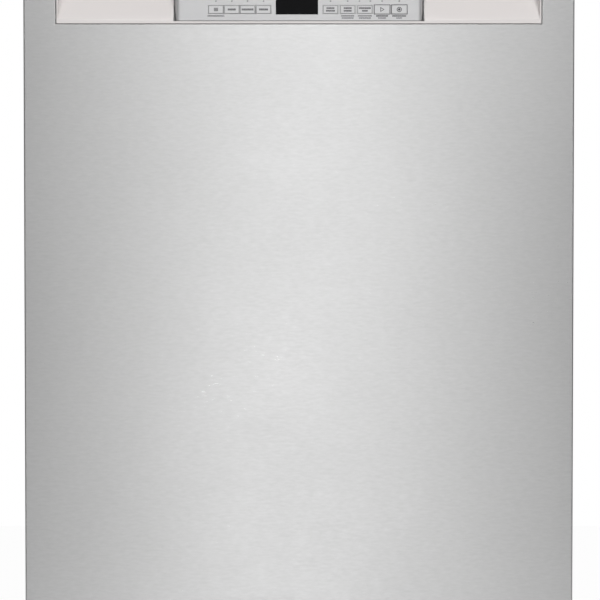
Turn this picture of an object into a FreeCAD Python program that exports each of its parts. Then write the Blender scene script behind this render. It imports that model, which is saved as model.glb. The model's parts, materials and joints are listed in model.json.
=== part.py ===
import FreeCAD, Part
import os
import re
import Sketcher

# A built-in dishwasher, 24 inch class, front controls in a recessed pocket handle.
# Millimetres, +Z up, the door faces -Y and +X is to the right. The origin is on the floor, in the
# middle of the footprint. Every driving dimension is a cell of the sheet called Sizes.

DRIVING = {
    # overall
    "width": 606, "depth": 622, "height": 870, "sheet_steel": 1, "fit_gap": 0.3, "running_gap": 0.05,
    # tub
    "tub_half": 280, "tub_front": -250, "tub_back": 292, "tub_floor": 130, "tub_top": 836,
    "tub_wall": 1.2, "tub_corner": 24, "flange_half": 296, "flange_top": 857, "notch_top": 175,
    "notch_half": 281, "track_inner": 259, "track_rise": 6.5, "track_front": -242, "track_back": 268,
    "gasket_inner": 279, "gasket_width": 9, "gasket_foot": 178, "gasket_head": 835,
    "blanket_inner": 280.5, "blanket_depth": 10, "blanket_front": -214, "blanket_foot": 172,
    # door
    "door_bottom": 104, "door_top": 862, "door_depth": 49, "pan_depth": 24, "edge_round": 1.6,
    "liner_half": 298, "liner_bottom": 108, "liner_top": 858, "pivot_y": -250, "pivot_z": 118,
    "pad_half": 268, "pad_bottom": 126, "pad_top": 706, "pad_depth": 6,
    "seal_half": 272, "seal_bottom": 136, "seal_height": 11, "seal_depth": 9.6,
    # handle pocket and console island
    "recess_half": 267.5, "recess_bottom": 742, "recess_top": 794, "pocket_roof": 808,
    "housing_half": 276, "housing_bottom": 728, "housing_top": 816, "housing_depth": 38,
    "pocket_floor": 28, "lip_wall": 4, "lip_rise": 5, "ramp_one_y": 9, "ramp_one_z": 22, "ramp_two_y": 19,
    "ramp_two_z": 37, "island_half": 136, "island_lift": 3, "island_depth": 25,
    "island_wall": 2.2, "face_setback": 0.5, "island_round": 5,
    "key_width": 16.6, "key_height": 9.3, "key_rise": 11.4, "key_depth": 9, "key_proud": 0.3,
    "key_gap": 0.25, "key_first": -91.2, "key_pitch": 17.4, "key_fifth": 34.7,
    "key_step": 18.9, "lamp_rise": 25.3, "lamp_radius": 1, "lamp_depth": 4, "lamp_spread": 6,
    "window_middle": -2.2, "window_half": 23.3, "window_rise": 10.5, "window_height": 23,
    "window_depth": 1.6, "board_half": 122, "board_thick": 1.6, "board_setback": 16,
    "board_margin": 6,
    # latch
    "strike_half": 12, "strike_low": 846, "strike_high": 849.5, "strike_reach": 20,
    "strike_plate_half": 24, "latch_half": 30, "latch_low": 826, "latch_throat_half": 15,
    "latch_throat_low": 832, "latch_throat_high": 853, "latch_depth": 23, "pawl_half": 10,
    "pawl_low": 841.2, "pawl_high": 844.2, "pawl_pivot_y": -278, "pawl_pivot_z": 842.7,
    "pawl_pin": 1.8, "pawl_length": 13,
    # dispenser
    "dispenser_half": 90, "dispenser_low": 425, "dispenser_high": 555, "dispenser_depth": 22,
    "dispenser_proud": 3, "cup_left": -78, "cup_right": -2, "cup_low": 440, "cup_high": 532,
    "cup_deep": 16, "lid_margin": 4, "lid_thick": 2.4, "lid_grip": 3, "cap_x": 46, "cap_z": 490,
    "cap_radius": 17, "cap_thick": 4, "cap_grip": 3.4,
    # hinge, pull rods and springs
    "arm_inner": 284, "arm_thick": 3, "arm_front": -286, "arm_top": 300, "arm_back": -268,
    "lug_radius": 9, "pin_radius": 5, "crank": 21.2, "crank_pin": 3, "yoke_inner": 288.2,
    "yoke_thick": 2, "yoke_half": 9.5, "yoke_low": 13, "yoke_high": 39, "slot_half": 4.6,
    "slot_low": 17, "slot_high": 34.5, "bracket_inner": 292, "bracket_thick": 3,
    "bracket_back": -180, "bracket_foot": 60, "bracket_step": 19, "rod_radius": 3,
    "rod_middle": 290.6, "seat_y": -190, "seat_thick": 3, "spring_length": 130,
    "spring_radius": 7.6, "spring_bore": 3.6, "washer_thick": 3,
    # base
    "base_half": 298, "base_front": -222, "base_back": 304, "base_low": 30, "base_high": 100,
    "base_wall": 14, "post_size": 24, "leg_x": 291, "leg_front_y": -198, "leg_back_y": 268,
    "leg_radius": 5, "leg_top": 60, "foot_radius": 11.5, "foot_thick": 7, "nut_radius": 8,
    "nut_height": 6, "toe_half": 296, "toe_y": -230, "toe_low": 12, "toe_high": 103,
    "toe_return": 7.7,
    "bolt_x": 195, "tab_half": 15, "tab_thick": 1.5, "tab_reach": 26, "tab_hole": 2.5,
    # sump, filter, pumps
    "hub_y": 20, "sump_radius": 78, "sump_wall": 3, "sump_low": 72, "sump_flange": 92,
    "post_radius": 10, "post_top": 161, "sieve_z": 124.5, "cup_x": 46, "filter_radius": 27,
    "filter_low": 86, "filter_top": 138, "filter_wall": 2, "grip_height": 9,
    "pump_x": -150, "pump_z": 80, "pump_radius": 42, "pump_front": -90, "pump_length": 150,
    "pipe_radius": 16, "drain_x": 112, "drain_radius": 25, "drain_length": 66, "drain_z": 84,
    "spigot_x": -190, "spigot_z": 68, "spigot_radius": 9.5, "spigot_plate": 22,
    "valve_x": -236, "valve_y": -170, "valve_size": 36, "valve_low": 50,
    "valve_high": 92, "inlet_radius": 13.2, "inlet_length": 14, "coil_radius": 13,
    "box_x": 236, "box_y": -168, "box_half": 26, "box_deep": 34, "box_low": 44, "box_high": 92,
    "box_wall": 1.5, "knockout": 11,
    "heater_ring": 150, "heater_tube": 4, "heater_z": 141.5,
    "float_x": -205, "float_y": -185, "float_radius": 19, "float_low": 133, "float_high": 157,
    "float_wall": 2,
    # spray parts
    "arm_reach": 214, "arm_half": 16, "arm_tip": 9, "arm_height": 11, "arm_low": 151.5,
    "hub_radius": 20, "hub_low": 150, "hub_high": 168, "hub_ceiling": 162,
    "riser_half": 18, "riser_thick": 12, "duct_z": 823, "duct_high": 834, "spin_radius": 6,
    "spin_low": 800, "spin_high": 813, "spin_reach": 72, "spin_hub": 14, "spin_half": 9,
    "port_front": 267, "port_half": 12,
    "manifold_half": 14, "manifold_low": 497, "manifold_high": 512, "manifold_back": 264,
    "upper_post": 8, "upper_post_low": 477.5, "upper_arm_low": 476, "upper_hub_high": 489.5,
    "upper_hub_ceiling": 488.5,
    # racks
    "rack_half": 256, "rack_front": -214, "rack_back": 252, "wire": 2, "rim_wire": 2.6,
    "upper_floor": 520, "upper_rim": 640, "lower_floor": 184, "lower_rim": 324,
    "upper_tine": 56, "lower_tine": 84,
    "rail_front": -226, "rail_back": 256, "rail_low": 590, "rail_high": 608, "rail_outer": 278,
    "rail_lip": 267, "rail_sheet": 1.5, "rail_clear": 1, "slide_front": -214, "slide_back": 226,
    "slide_inner": 261, "shelf_x": -246, "shelf_z": 612, "shelf_reach": 82, "shelf_half": 150,
    "wheel_radius": 18, "wheel_width": 8, "wheel_inner": 263.5, "wheel_z": 156,
    "axle_radius": 3, "wheel_front_y": -22, "wheel_back_y": 190, "strut_x": 259.5,
    "basket_left": 142, "basket_right": 236, "basket_front": -150, "basket_back": 96,
    "basket_low": 189, "basket_high": 318, "basket_wall": 2, "handle_top": 384, "slot_wide": 9,
}

doc = FreeCAD.newDocument("Dishwasher")
sizes = doc.addObject("Spreadsheet::Sheet", "Sizes")
for row, (alias, number) in enumerate(DRIVING.items(), 1):
    sizes.set(f"A{row}", alias)
    sizes.set(f"B{row}", str(number))
    sizes.setAlias(f"B{row}", alias)
doc.recompute()

WORD = re.compile(r"[a-z]+(?:_[a-z]+)*")
AXES = {"X": (1, 0, 0), "Y": (0, 1, 0), "Z": (0, 0, 1)}
nodes = {}
cuts = []


def bound(text):
    """The expression text with every alias pointing at the sheet."""
    return WORD.sub(lambda m: f"<<Sizes>>.{m[0]}" if m[0] in DRIVING else m[0], str(text))


def number_of(text):
    """What an expression is worth now, in millimetres."""
    return float(sizes.evalExpression(bound(text)))


def neg(text):
    return f"-({text})"


def rect(x0, y0, x1, y1):
    """A rectangle as an outline of four corners."""
    return [(x0, y0), (x1, y0), (x1, y1), (x0, y1)]


class Piece:
    """A PartDesign body built up by pads and pockets between two levels of an axis."""

    def __init__(self, label):
        self.body = doc.addObject("PartDesign::Body", label)
        self.body.Label = label

    def sketch(self, plane, outlines, level):
        origin = self.body.Origin.OriginFeatures
        base = [f for f in origin if f.Role == f"{plane}_Plane"][0]
        drawn = self.body.newObject("Sketcher::SketchObject", "Outline")
        drawn.AttachmentSupport = [(base, "")]
        drawn.MapMode = "FlatFace"
        # the XZ plane looks along -Y, so its offset counts the other way
        offset = neg(level) if plane == "XZ" else level
        drawn.setExpression(".AttachmentOffset.Base.z", bound(offset))
        for outline in outlines:
            self.draw_circle(drawn, *outline) if isinstance(outline, tuple) \
                else self.draw_polygon(drawn, outline)
        return drawn

    def draw_circle(self, drawn, middle_x, middle_y, radius):
        place = FreeCAD.Vector(number_of(middle_x), number_of(middle_y), 0)
        ring = drawn.addGeometry(Part.Circle(place, FreeCAD.Vector(0, 0, 1), number_of(radius)), False)
        for kind, text, now in (("DistanceX", middle_x, place.x), ("DistanceY", middle_y, place.y)):
            held = drawn.addConstraint(Sketcher.Constraint(kind, -1, 1, ring, 3, now))
            drawn.setExpression(f"Constraints[{held}]", bound(text))
        held = drawn.addConstraint(Sketcher.Constraint("Radius", ring, number_of(radius)))
        drawn.setExpression(f"Constraints[{held}]", bound(radius))

    def draw_polygon(self, drawn, corners):
        spots = [FreeCAD.Vector(number_of(x), number_of(y), 0) for x, y in corners]
        count = len(spots)
        lines = [drawn.addGeometry(Part.LineSegment(spots[i], spots[(i + 1) % count]), False)
                 for i in range(count)]
        for i in range(count):
            drawn.addConstraint(Sketcher.Constraint("Coincident", lines[i], 2, lines[(i + 1) % count], 1))
        for i, (x, y) in enumerate(corners):
            for kind, text, now in (("DistanceX", x, spots[i].x), ("DistanceY", y, spots[i].y)):
                held = drawn.addConstraint(Sketcher.Constraint(kind, -1, 1, lines[i], 1, now))
                drawn.setExpression(f"Constraints[{held}]", bound(text))

    def pad(self, plane, outlines, low, high):
        profile = self.sketch(plane, outlines, high if plane == "XZ" else low)
        feature = self.body.newObject("PartDesign::Pad", "Pad")
        feature.Profile = profile
        feature.setExpression("Length", bound(f"({high}) - ({low})"))
        return self

    def pocket(self, plane, outlines, low, high):
        before = self.body.Tip
        profile = self.sketch(plane, outlines, low if plane == "XZ" else high)
        feature = self.body.newObject("PartDesign::Pocket", "Pocket")
        feature.Profile = profile
        feature.setExpression("Length", bound(f"({high}) - ({low})"))
        cuts.append((before, feature))
        return self

    def fillet(self, radius, chosen):
        """Rounds every edge of the present shape that passes the test."""
        doc.recompute()
        before = self.body.Tip
        names = [f"Edge{i}" for i, edge in enumerate(before.Shape.Edges, 1) if chosen(edge)]
        feature = self.body.newObject("PartDesign::Fillet", "Fillet")
        feature.Base = (before, names)
        feature.setExpression("Radius", bound(radius))
        return self


def place(item, x, y, z):
    for axis, text in zip("xyz", (x, y, z)):
        item.setExpression(f".Placement.Base.{axis}", bound(text))
    return item


def box(x0, y0, z0, x1, y1, z1):
    """A Part box between two corners."""
    item = doc.addObject("Part::Box", "Box")
    for side, low, high in (("Length", x0, x1), ("Width", y0, y1), ("Height", z0, z1)):
        item.setExpression(side, bound(f"({high}) - ({low})"))
    return place(item, x0, y0, z0)


def rod(axis, x, y, z, radius, length):
    """A Part cylinder that starts at a point and runs along +X, +Y or +Z."""
    item = doc.addObject("Part::Cylinder", "Rod")
    item.setExpression("Radius", bound(radius))
    item.setExpression("Height", bound(length))
    turn = FreeCAD.Rotation(FreeCAD.Vector(0, 0, 1), FreeCAD.Vector(*AXES[axis]))
    item.Placement = FreeCAD.Placement(FreeCAD.Vector(), turn)
    return place(item, x, y, z)


def fuse(*items):
    item = doc.addObject("Part::MultiFuse", "Fuse")
    item.Shapes = list(items)
    return item


def cut(base, tool):
    item = doc.addObject("Part::Cut", "Cut")
    item.Base = base
    item.Tool = tool
    cuts.append((base, item))
    return item


def mirrored(source):
    item = doc.addObject("Part::Mirroring", "Mirrored")
    item.Source = source
    item.Normal = FreeCAD.Vector(1, 0, 0)
    return item


def node(name, *items):
    """Names a finished sub-part; several items stay separate solids of one node."""
    if len(items) == 1:
        whole = items[0]
    else:
        whole = doc.addObject("Part::Compound", name)
        whole.Links = list(items)
    whole.Label = name
    nodes[name] = whole


def pair(name, item):
    """A sub-part that comes as a left and a right one."""
    node(name, item, mirrored(item))


def along(edge, axis):
    ends = [v.Point for v in edge.Vertexes]
    if len(ends) != 2:
        return False
    step = ends[1] - ends[0]
    return abs(abs(step.normalize().dot(FreeCAD.Vector(*AXES[axis]))) - 1) < 1e-6


def at_x(item, text):
    """Whether an item stands wholly at this distance to either side of the middle."""
    spot = item.BoundBox
    return all(abs(abs(x) - number_of(text)) < 1e-4 for x in (spot.XMin, spot.XMax))


def at_y(item, text):
    spot = item.BoundBox
    return abs(spot.YMin - number_of(text)) < 1e-4 and abs(spot.YMax - number_of(text)) < 1e-4


FRONT = "-(depth / 2)"
HALF = "width / 2"
SKIN_BACK = f"{FRONT} + sheet_steel"
DOOR_BACK = f"{FRONT} + door_depth"
LINER_FACE = f"{DOOR_BACK} - sheet_steel"
FACE = f"{FRONT} + face_setback"


# ---- cabinet ----

def tub():
    """Deep drawn steel box, open at the front, with an outward flange and two wheel tracks."""
    piece = Piece("tub")
    piece.pad("XZ", [rect("-tub_half", "tub_floor", "tub_half", "tub_top")], "tub_front", "tub_back")
    inside = "tub_half - tub_wall"
    inner_back = "tub_back - tub_wall"
    piece.pocket("XZ", [rect(neg(inside), "tub_floor + tub_wall", inside, "tub_top - tub_wall")],
                 "tub_front", inner_back)
    piece.fillet("tub_corner - tub_wall",
                 lambda e: at_y(e, inner_back) or along(e, "Y") and at_x(e, inside))
    # the inner corners come first: rounding the outer ones first would leave no wall there
    piece.fillet("tub_corner",
                 lambda e: at_y(e, "tub_back") or along(e, "Y") and at_x(e, "tub_half"))
    piece.pad("XZ", [rect("-flange_half", "tub_floor", "flange_half", "flange_top"),
                     rect(neg(inside), "tub_floor + tub_corner", inside, "tub_top - tub_wall")],
              "tub_front", "tub_front + tub_wall")
    opening = [(neg(inside), "tub_floor + tub_corner + 1"), (neg(inside), "tub_floor + tub_corner"),
               (f"{neg(inside)} + tub_corner", "tub_floor + tub_wall"),
               (f"{inside} - tub_corner", "tub_floor + tub_wall"),
               (inside, "tub_floor + tub_corner"), (inside, "tub_floor + tub_corner + 1")]
    piece.pocket("XZ", [opening], "tub_front - 1", "tub_front + tub_wall")
    for side in ("-", ""):
        outer = f"{side}(flange_half + 1)"
        piece.pocket("XZ", [rect(outer, "tub_floor - 1", f"{side}notch_half", "notch_top")],
                     "tub_front - 1", "tub_front + tub_wall + 1")
        piece.pad("XZ", [rect(f"{side}track_inner", "tub_floor + tub_wall / 2",
                              f"{side}(track_inner + 13)", "tub_floor + tub_wall + track_rise")],
                  "track_front", "track_back")
    piece.pocket("XY", [("0", "hub_y", "sump_radius")], "tub_floor - 1", "tub_floor + 3")
    node("tub", piece.body)


def tub_gasket():
    """Rubber seal around the sides and top of the opening."""
    outer = "gasket_inner + gasket_width"
    top = "gasket_head + gasket_width"
    outline = [(neg(outer), "gasket_foot"), (neg(outer), top), (outer, top), (outer, "gasket_foot"),
               ("gasket_inner", "gasket_foot"), ("gasket_inner", "gasket_head"),
               ("-gasket_inner", "gasket_head"), ("-gasket_inner", "gasket_foot")]
    piece = Piece("tub_gasket").pad("XZ", [outline], f"{DOOR_BACK} + fit_gap", "tub_front")
    node("tub_gasket", piece.body)


def insulation_blanket():
    """Sound-deadening felt over the top and both sides of the tub."""
    outer = "blanket_inner + blanket_depth"
    inner_top = "tub_top + fit_gap"
    top = f"{inner_top} + blanket_depth"
    outline = [(neg(outer), "blanket_foot"), (neg(outer), top), (outer, top), (outer, "blanket_foot"),
               ("blanket_inner", "blanket_foot"), ("blanket_inner", inner_top),
               ("-blanket_inner", inner_top), ("-blanket_inner", "blanket_foot")]
    piece = Piece("insulation_blanket").pad("XZ", [outline], "blanket_front", "tub_back - 2")
    node("insulation_blanket", piece.body)


def base_frame():
    """Moulded base: a ring of deep rails, posts under the tub corners, and spring seats."""
    inner = "base_half - base_wall"
    piece = Piece("base_frame")
    piece.pad("XY", [rect("-base_half", "base_front", "base_half", "base_back"),
                     rect(neg(inner), "base_front + base_wall", inner, "base_back - base_wall")],
              "base_low", "base_high")
    for side in ("-", ""):
        far = f"{side}(tub_half - tub_corner)"
        near = f"{side}(tub_half - tub_corner - post_size)"
        for low, high in (("base_front", "base_front + base_wall"),
                          ("base_back - 2 * base_wall", "base_back - base_wall / 2")):
            piece.pad("XY", [rect(near, low, far, high)], "base_high - 20", "tub_floor - fit_gap")
        piece.pad("YZ", [rect("seat_y - seat_thick", "base_high - 10", "seat_y", "pivot_z + crank + 9")],
                  f"{side}(rod_middle + 7.3)" if side else "rod_middle - 7",
                  f"{side}(rod_middle - 7)" if side else "rod_middle + 7.3")
        piece.pocket("XZ", [(f"{side}rod_middle", "pivot_z + crank", "rod_radius + 0.6")],
                     "seat_y - seat_thick - 1", "seat_y + 1")
        for leg in ("leg_front_y", "leg_back_y"):
            piece.pocket("XY", [(f"{side}leg_x", leg, "leg_radius + 0.2")], "base_low - 1", "leg_top + 2")
    for low, high in (("-150", "-40"), ("10", "120"), ("160", "230")):
        piece.pocket("YZ", [rect(low, "base_low + 14", high, "base_high - 14")],
                     "-base_half - 1", "base_half + 1")
    node("base_frame", piece.body)


def levelling_legs():
    """Four threaded legs with a foot and a hexagonal nut form."""
    legs = []
    for side in ("-", ""):
        for y in ("leg_front_y", "leg_back_y"):
            x = f"{side}leg_x"
            foot = rod("Z", x, y, "0", "foot_radius", "foot_thick")
            stem = rod("Z", x, y, "foot_thick / 2", "leg_radius", "leg_top - foot_thick / 2")
            nut = doc.addObject("Part::Prism", "Nut")
            nut.Polygon = 6
            nut.setExpression("Circumradius", bound("nut_radius"))
            nut.setExpression("Height", bound("nut_height"))
            place(nut, x, y, "base_low - nut_height - 2")
            legs.append(fuse(foot, stem, nut))
    node("levelling_legs", *legs)


def toe_panel():
    """Set-back kick plate with a folded top and bottom edge."""
    piece = Piece("toe_panel")
    piece.pad("XZ", [rect("-toe_half", "toe_low", "toe_half", "toe_high")], "toe_y",
              "toe_y + toe_return")
    piece.pocket("XZ", [rect("-(toe_half + 1)", "toe_low + sheet_steel", "toe_half + 1",
                             "toe_high - sheet_steel")],
                 "toe_y + sheet_steel", "toe_y + toe_return + 1")
    node("toe_panel", piece.body)


def mounting_brackets():
    """Two bent tabs that screw to the underside of a worktop."""
    back = "tub_front + tub_wall"
    piece = Piece("bracket_half")
    piece.pad("XY", [rect("bolt_x - tab_half", back, "bolt_x + tab_half", f"{back} + tab_reach")],
              "height - tab_thick", "height")
    piece.pad("XZ", [rect("bolt_x - tab_half", "tub_top", "bolt_x + tab_half", "height")],
              back, f"{back} + tab_thick")
    piece.pocket("XY", [("bolt_x", f"{back} + tab_reach / 2", "tab_hole")],
                 "height - tab_thick - 1", "height + 1")
    pair("mounting_brackets", piece.body)


def door_strike():
    """Catch tongue on the middle of the tub's top flange."""
    plate = box("-strike_plate_half", "tub_front + tub_wall", "strike_high + 1", "strike_plate_half",
                "tub_front + tub_wall + 2", "flange_top")
    web = box("-strike_half", "tub_front - 1.5", "strike_low", "strike_half", "tub_front",
              "flange_top")
    tongue = box("-strike_half", "tub_front - strike_reach", "strike_low", "strike_half",
                 "tub_front - 0.5", "strike_high")
    node("door_strike", fuse(web, tongue), plate)


def sump():
    """Moulded bowl under the tub floor with the spray post in its middle."""
    shell = fuse(rod("Z", "0", "hub_y", "sump_low", "sump_radius", "tub_floor - sump_low"),
                 rod("Z", "0", "hub_y", "tub_floor - sump_wall", "sump_flange", "sump_wall"))
    bowl = cut(shell, rod("Z", "0", "hub_y", "sump_low + sump_wall", "sump_radius - sump_wall",
                          "tub_floor - sump_low"))
    post = rod("Z", "0", "hub_y", "sump_low + sump_wall / 2", "post_radius",
               "post_top - sump_low - sump_wall / 2")
    node("sump", fuse(bowl, post))


def filter_plate():
    """Perforated steel disc that sits in the sump's mouth."""
    disc = rod("Z", "0", "hub_y", "sieve_z", "sump_radius - sump_wall - fit_gap", "sheet_steel")
    post_hole = rod("Z", "0", "hub_y", "sieve_z - 1", "post_radius + fit_gap", "sheet_steel + 2")
    cup_hole = rod("Z", "cup_x", "hub_y", "sieve_z - 1", "filter_radius + 0.4", "sheet_steel + 2")
    node("filter_plate", cut(disc, fuse(post_hole, cup_hole)))


def filter_cup():
    """Fine filter cup with a grip bar; a quarter turn frees it."""
    outer = rod("Z", "cup_x", "hub_y", "filter_low", "filter_radius", "filter_top - filter_low")
    inner = rod("Z", "cup_x", "hub_y", "filter_low + filter_wall", "filter_radius - filter_wall",
                "filter_top - filter_low")
    grip = box("cup_x - 3", "hub_y - filter_radius + 0.5", "filter_top - 3", "cup_x + 3",
               "hub_y + filter_radius - 0.5", "filter_top + grip_height")
    node("filter_cup", fuse(cut(outer, inner), grip))


def heater_element():
    """Ring heater held off the tub floor on two legs."""
    ring = doc.addObject("Part::Torus", "Ring")
    ring.setExpression("Radius1", bound("heater_ring"))
    ring.setExpression("Radius2", bound("heater_tube"))
    place(ring, "0", "hub_y", "heater_z")
    legs = [rod("Z", f"{side}heater_ring", "hub_y", "tub_floor + tub_wall", "heater_tube + 3",
                "heater_z - tub_floor - tub_wall") for side in ("-", "")]
    node("heater_element", fuse(ring, *legs))


def wash_pump():
    """Circulation pump: motor can, volute and the pipe to the sump."""
    y0 = "pump_front"
    motor = rod("Y", "pump_x", f"{y0} + 34", "pump_z", "pump_radius - 6", "pump_length - 34")
    volute = rod("Y", "pump_x", y0, "pump_z", "pump_radius", "34")
    inlet = rod("X", "pump_x", "hub_y - 10", "pump_z + 8", "pipe_radius",
                "-pump_x - sump_radius - fit_gap")
    node("wash_pump", fuse(motor, volute, inlet))


def drain_pump():
    """Small drain pump on the other side of the sump."""
    body = rod("X", "drain_x", "hub_y", "drain_z", "drain_radius", "drain_length")
    neck = rod("X", "sump_radius + fit_gap", "hub_y", "drain_z", "drain_radius - 12",
               "drain_x - sump_radius + 2")
    node("drain_pump", fuse(body, neck))


def drain_outlet():
    """Hose spigot on a plate behind the base."""
    start = "base_back"
    plate = box("spigot_x - spigot_plate", start, "spigot_z - spigot_plate",
                "spigot_x + spigot_plate", f"{start} + 2", "spigot_z + spigot_plate")
    pipe = rod("Y", "spigot_x", f"{start} + 1", "spigot_z", "spigot_radius", "depth / 2 - base_back - 1")
    node("drain_outlet", fuse(plate, pipe))


def inlet_valve():
    """Water valve: square body, solenoid coil and a downward threaded inlet."""
    half = "valve_size / 2"
    body = box(f"valve_x - {half}", f"valve_y - {half}", "valve_low", f"valve_x + {half}",
               f"valve_y + {half}", "valve_high - 18")
    coil = rod("Z", "valve_x", "valve_y", "valve_high - 20", "coil_radius", "20")
    inlet = rod("Z", "valve_x", "valve_y", "valve_low - inlet_length", "inlet_radius",
                "inlet_length + 2")
    node("inlet_valve", fuse(body, coil, inlet))


def junction_box():
    """Steel wiring box with a cable knock-out in its floor."""
    outer = box("box_x - box_half", "box_y - box_deep", "box_low", "box_x + box_half",
                "box_y + box_deep", "box_high")
    inner = box("box_x - box_half + box_wall", "box_y - box_deep + box_wall", "box_low + box_wall",
                "box_x + box_half - box_wall", "box_y + box_deep - box_wall",
                "box_high - box_wall")
    hole = rod("Z", "box_x", "box_y", "box_low - 1", "knockout", "box_wall + 2")
    node("junction_box", cut(cut(outer, inner), hole))


def spray_riser():
    """Flat duct up the back wall and along the ceiling, with a port for the upper rack."""
    wall_back = "tub_back - tub_wall - fit_gap"
    riser = box("-riser_half", f"{wall_back} - riser_thick", "tub_floor + tub_wall + fit_gap + 24",
                "riser_half", wall_back, "duct_high - 24")
    bend = box("-riser_half", f"{wall_back} - riser_thick - 26", "duct_z - 14", "riser_half",
               f"{wall_back} - 26", "duct_high")
    link = box("-riser_half", f"{wall_back} - riser_thick - 26", "duct_z - 14", "riser_half",
               f"{wall_back}", "duct_high - 24")
    duct = box("-riser_half", "hub_y - 16", "duct_z", "riser_half", f"{wall_back} - 26", "duct_high")
    pin = rod("Z", "0", "hub_y", "spin_low - 3", "spin_radius", "duct_z - spin_low + 4")
    stop = rod("Z", "0", "hub_y", "spin_low - 5", "spin_radius + 3", "4")
    port = box("-port_half", "port_front", "manifold_low + 2", "port_half", f"{wall_back} - 2",
               "manifold_high - 2")
    node("spray_riser", fuse(riser, link, bend, duct, pin, stop, port))


def spray_arm(name, low, reach, half, tip, height, hub, hub_low, hub_high, bore, ceiling):
    """Two-ended spray arm: tapered blades on a round hub with a bore for its post."""
    blade = Piece(f"{name}_blade")
    outline = [(neg(reach), f"hub_y - {tip}"), ("0", f"hub_y - {half}"), (reach, f"hub_y - {tip}"),
               (reach, f"hub_y + {tip}"), ("0", f"hub_y + {half}"), (neg(reach), f"hub_y + {tip}")]
    blade.pad("XY", [outline], low, f"{low} + {height}")
    disc = rod("Z", "0", "hub_y", hub_low, hub, f"{hub_high} - {hub_low}")
    hole = rod("Z", "0", "hub_y", f"{hub_low} - 1", f"{bore} + running_gap",
               f"{ceiling} - {hub_low} + 1")
    node(name, cut(fuse(blade.body, disc), hole))


def rack_rails():
    """Fixed outer channels of the upper rack's telescopic rails."""
    web = "rail_outer - rail_sheet"
    outline = [("rail_lip", "rail_low"), ("rail_outer", "rail_low"), ("rail_outer", "rail_high"),
               ("rail_lip", "rail_high"), ("rail_lip", "rail_high - rail_sheet"),
               (web, "rail_high - rail_sheet"), (web, "rail_low + rail_sheet"),
               ("rail_lip", "rail_low + rail_sheet")]
    piece = Piece("rail_half").pad("XZ", [outline], "rail_front", "rail_back")
    pair("rack_rails", piece.body)


def mid_rails():
    """Middle channels that run inside the fixed ones at half the rack's travel."""
    step = "rail_sheet + rail_clear"
    low = f"rail_low + {step}"
    high = f"rail_high - ({step})"
    outer = f"rail_outer - ({step})"
    web = f"{outer} - rail_sheet"
    lip = "rail_lip - 1"
    outline = [(lip, low), (outer, low), (outer, high), (lip, high), (lip, f"{high} - rail_sheet"),
               (web, f"{high} - rail_sheet"), (web, f"{low} + rail_sheet"),
               (lip, f"{low} + rail_sheet")]
    piece = Piece("mid_rail_half").pad("XZ", [outline], "rail_front + 1", "rail_back - 1")
    pair("mid_rails", piece.body)


def rack_slides():
    """Inner members, screwed to the upper rack's sides."""
    step = "2 * (rail_sheet + rail_clear)"
    bar = box("slide_inner", "slide_front", f"rail_low + {step}", f"rail_outer - {step} - 0.5",
              "slide_back", f"rail_high - {step}")
    pair("rack_slides", bar)


def hinge_brackets():
    """Side plates on the base with the pins that carry the door."""
    plate = Piece("hinge_plate")
    outline = [("pivot_y - lug_radius", "pivot_z - lug_radius + 2"),
               ("pivot_y - lug_radius", "pivot_z + lug_radius - 1"),
               ("pivot_y + 35", "pivot_z + lug_radius - 1"), ("bracket_back", "base_high"),
               ("bracket_back", "bracket_foot"), ("base_front", "bracket_foot"),
               ("base_front", "base_high"), ("pivot_y + bracket_step", "base_high + 4"),
               ("pivot_y + bracket_step", "pivot_z - lug_radius + 2")]
    plate.pad("YZ", [outline], "base_half", "base_half + bracket_thick")
    inner = rod("X", "arm_inner - 1.5", "pivot_y", "pivot_z", "pin_radius",
                "base_half + 1 - arm_inner + 1.5")
    pair("hinge_brackets", fuse(plate.body, inner))


def counter_springs():
    """Compression springs around the pull rods."""
    outer = rod("Y", "rod_middle", "seat_y + fit_gap", "pivot_z + crank", "spring_radius",
                "spring_length")
    bore = rod("Y", "rod_middle", "seat_y - 1", "pivot_z + crank", "spring_bore",
               "spring_length + 3")
    pair("counter_springs", cut(outer, bore))


def pull_rods():
    """Rods that the door's crank pins draw forward; each ends in a slotted yoke and a washer."""
    crank_y = "pivot_y + crank"
    yoke = Piece("yoke_half")
    yoke.pad("YZ", [rect(f"{crank_y} - yoke_half", "pivot_z + yoke_low", f"{crank_y} + yoke_half",
                         "pivot_z + yoke_high")], "yoke_inner", "yoke_inner + yoke_thick")
    yoke.pocket("YZ", [rect(f"{crank_y} - slot_half", "pivot_z + slot_low",
                            f"{crank_y} + slot_half", "pivot_z + slot_high")],
                "yoke_inner - 1", "yoke_inner + yoke_thick + 1")
    start = f"{crank_y} + yoke_half - 3"
    end = "seat_y + spring_length + 2 * fit_gap"
    stem = rod("Y", "rod_middle", start, "pivot_z + crank", "rod_radius", f"{end} - ({start}) + 8")
    washer = rod("Y", "rod_middle", end, "pivot_z + crank", "spring_radius - 0.4", "washer_thick")
    pair("pull_rods", fuse(yoke.body, stem, washer))


# ---- door ----

def door_panel():
    """Outer steel skin: a shallow pan with rounded front edges and the recess cut out."""
    piece = Piece("door_panel")
    piece.pad("XZ", [rect(neg(HALF), "door_bottom", HALF, "door_top")], FRONT,
              f"{FRONT} + pan_depth")
    piece.fillet("edge_round", lambda e: at_y(e, FRONT))
    inner = f"{HALF} - sheet_steel"
    piece.pocket("XZ", [rect(neg(inner), "door_bottom + sheet_steel", inner,
                             "door_top - sheet_steel")], SKIN_BACK, f"{FRONT} + pan_depth + 1")
    piece.pocket("XZ", [rect("-recess_half", "recess_bottom", "recess_half", "recess_top")],
                 f"{FRONT} - 1", f"{SKIN_BACK} + 1")
    node("door_panel", piece.body)


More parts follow.
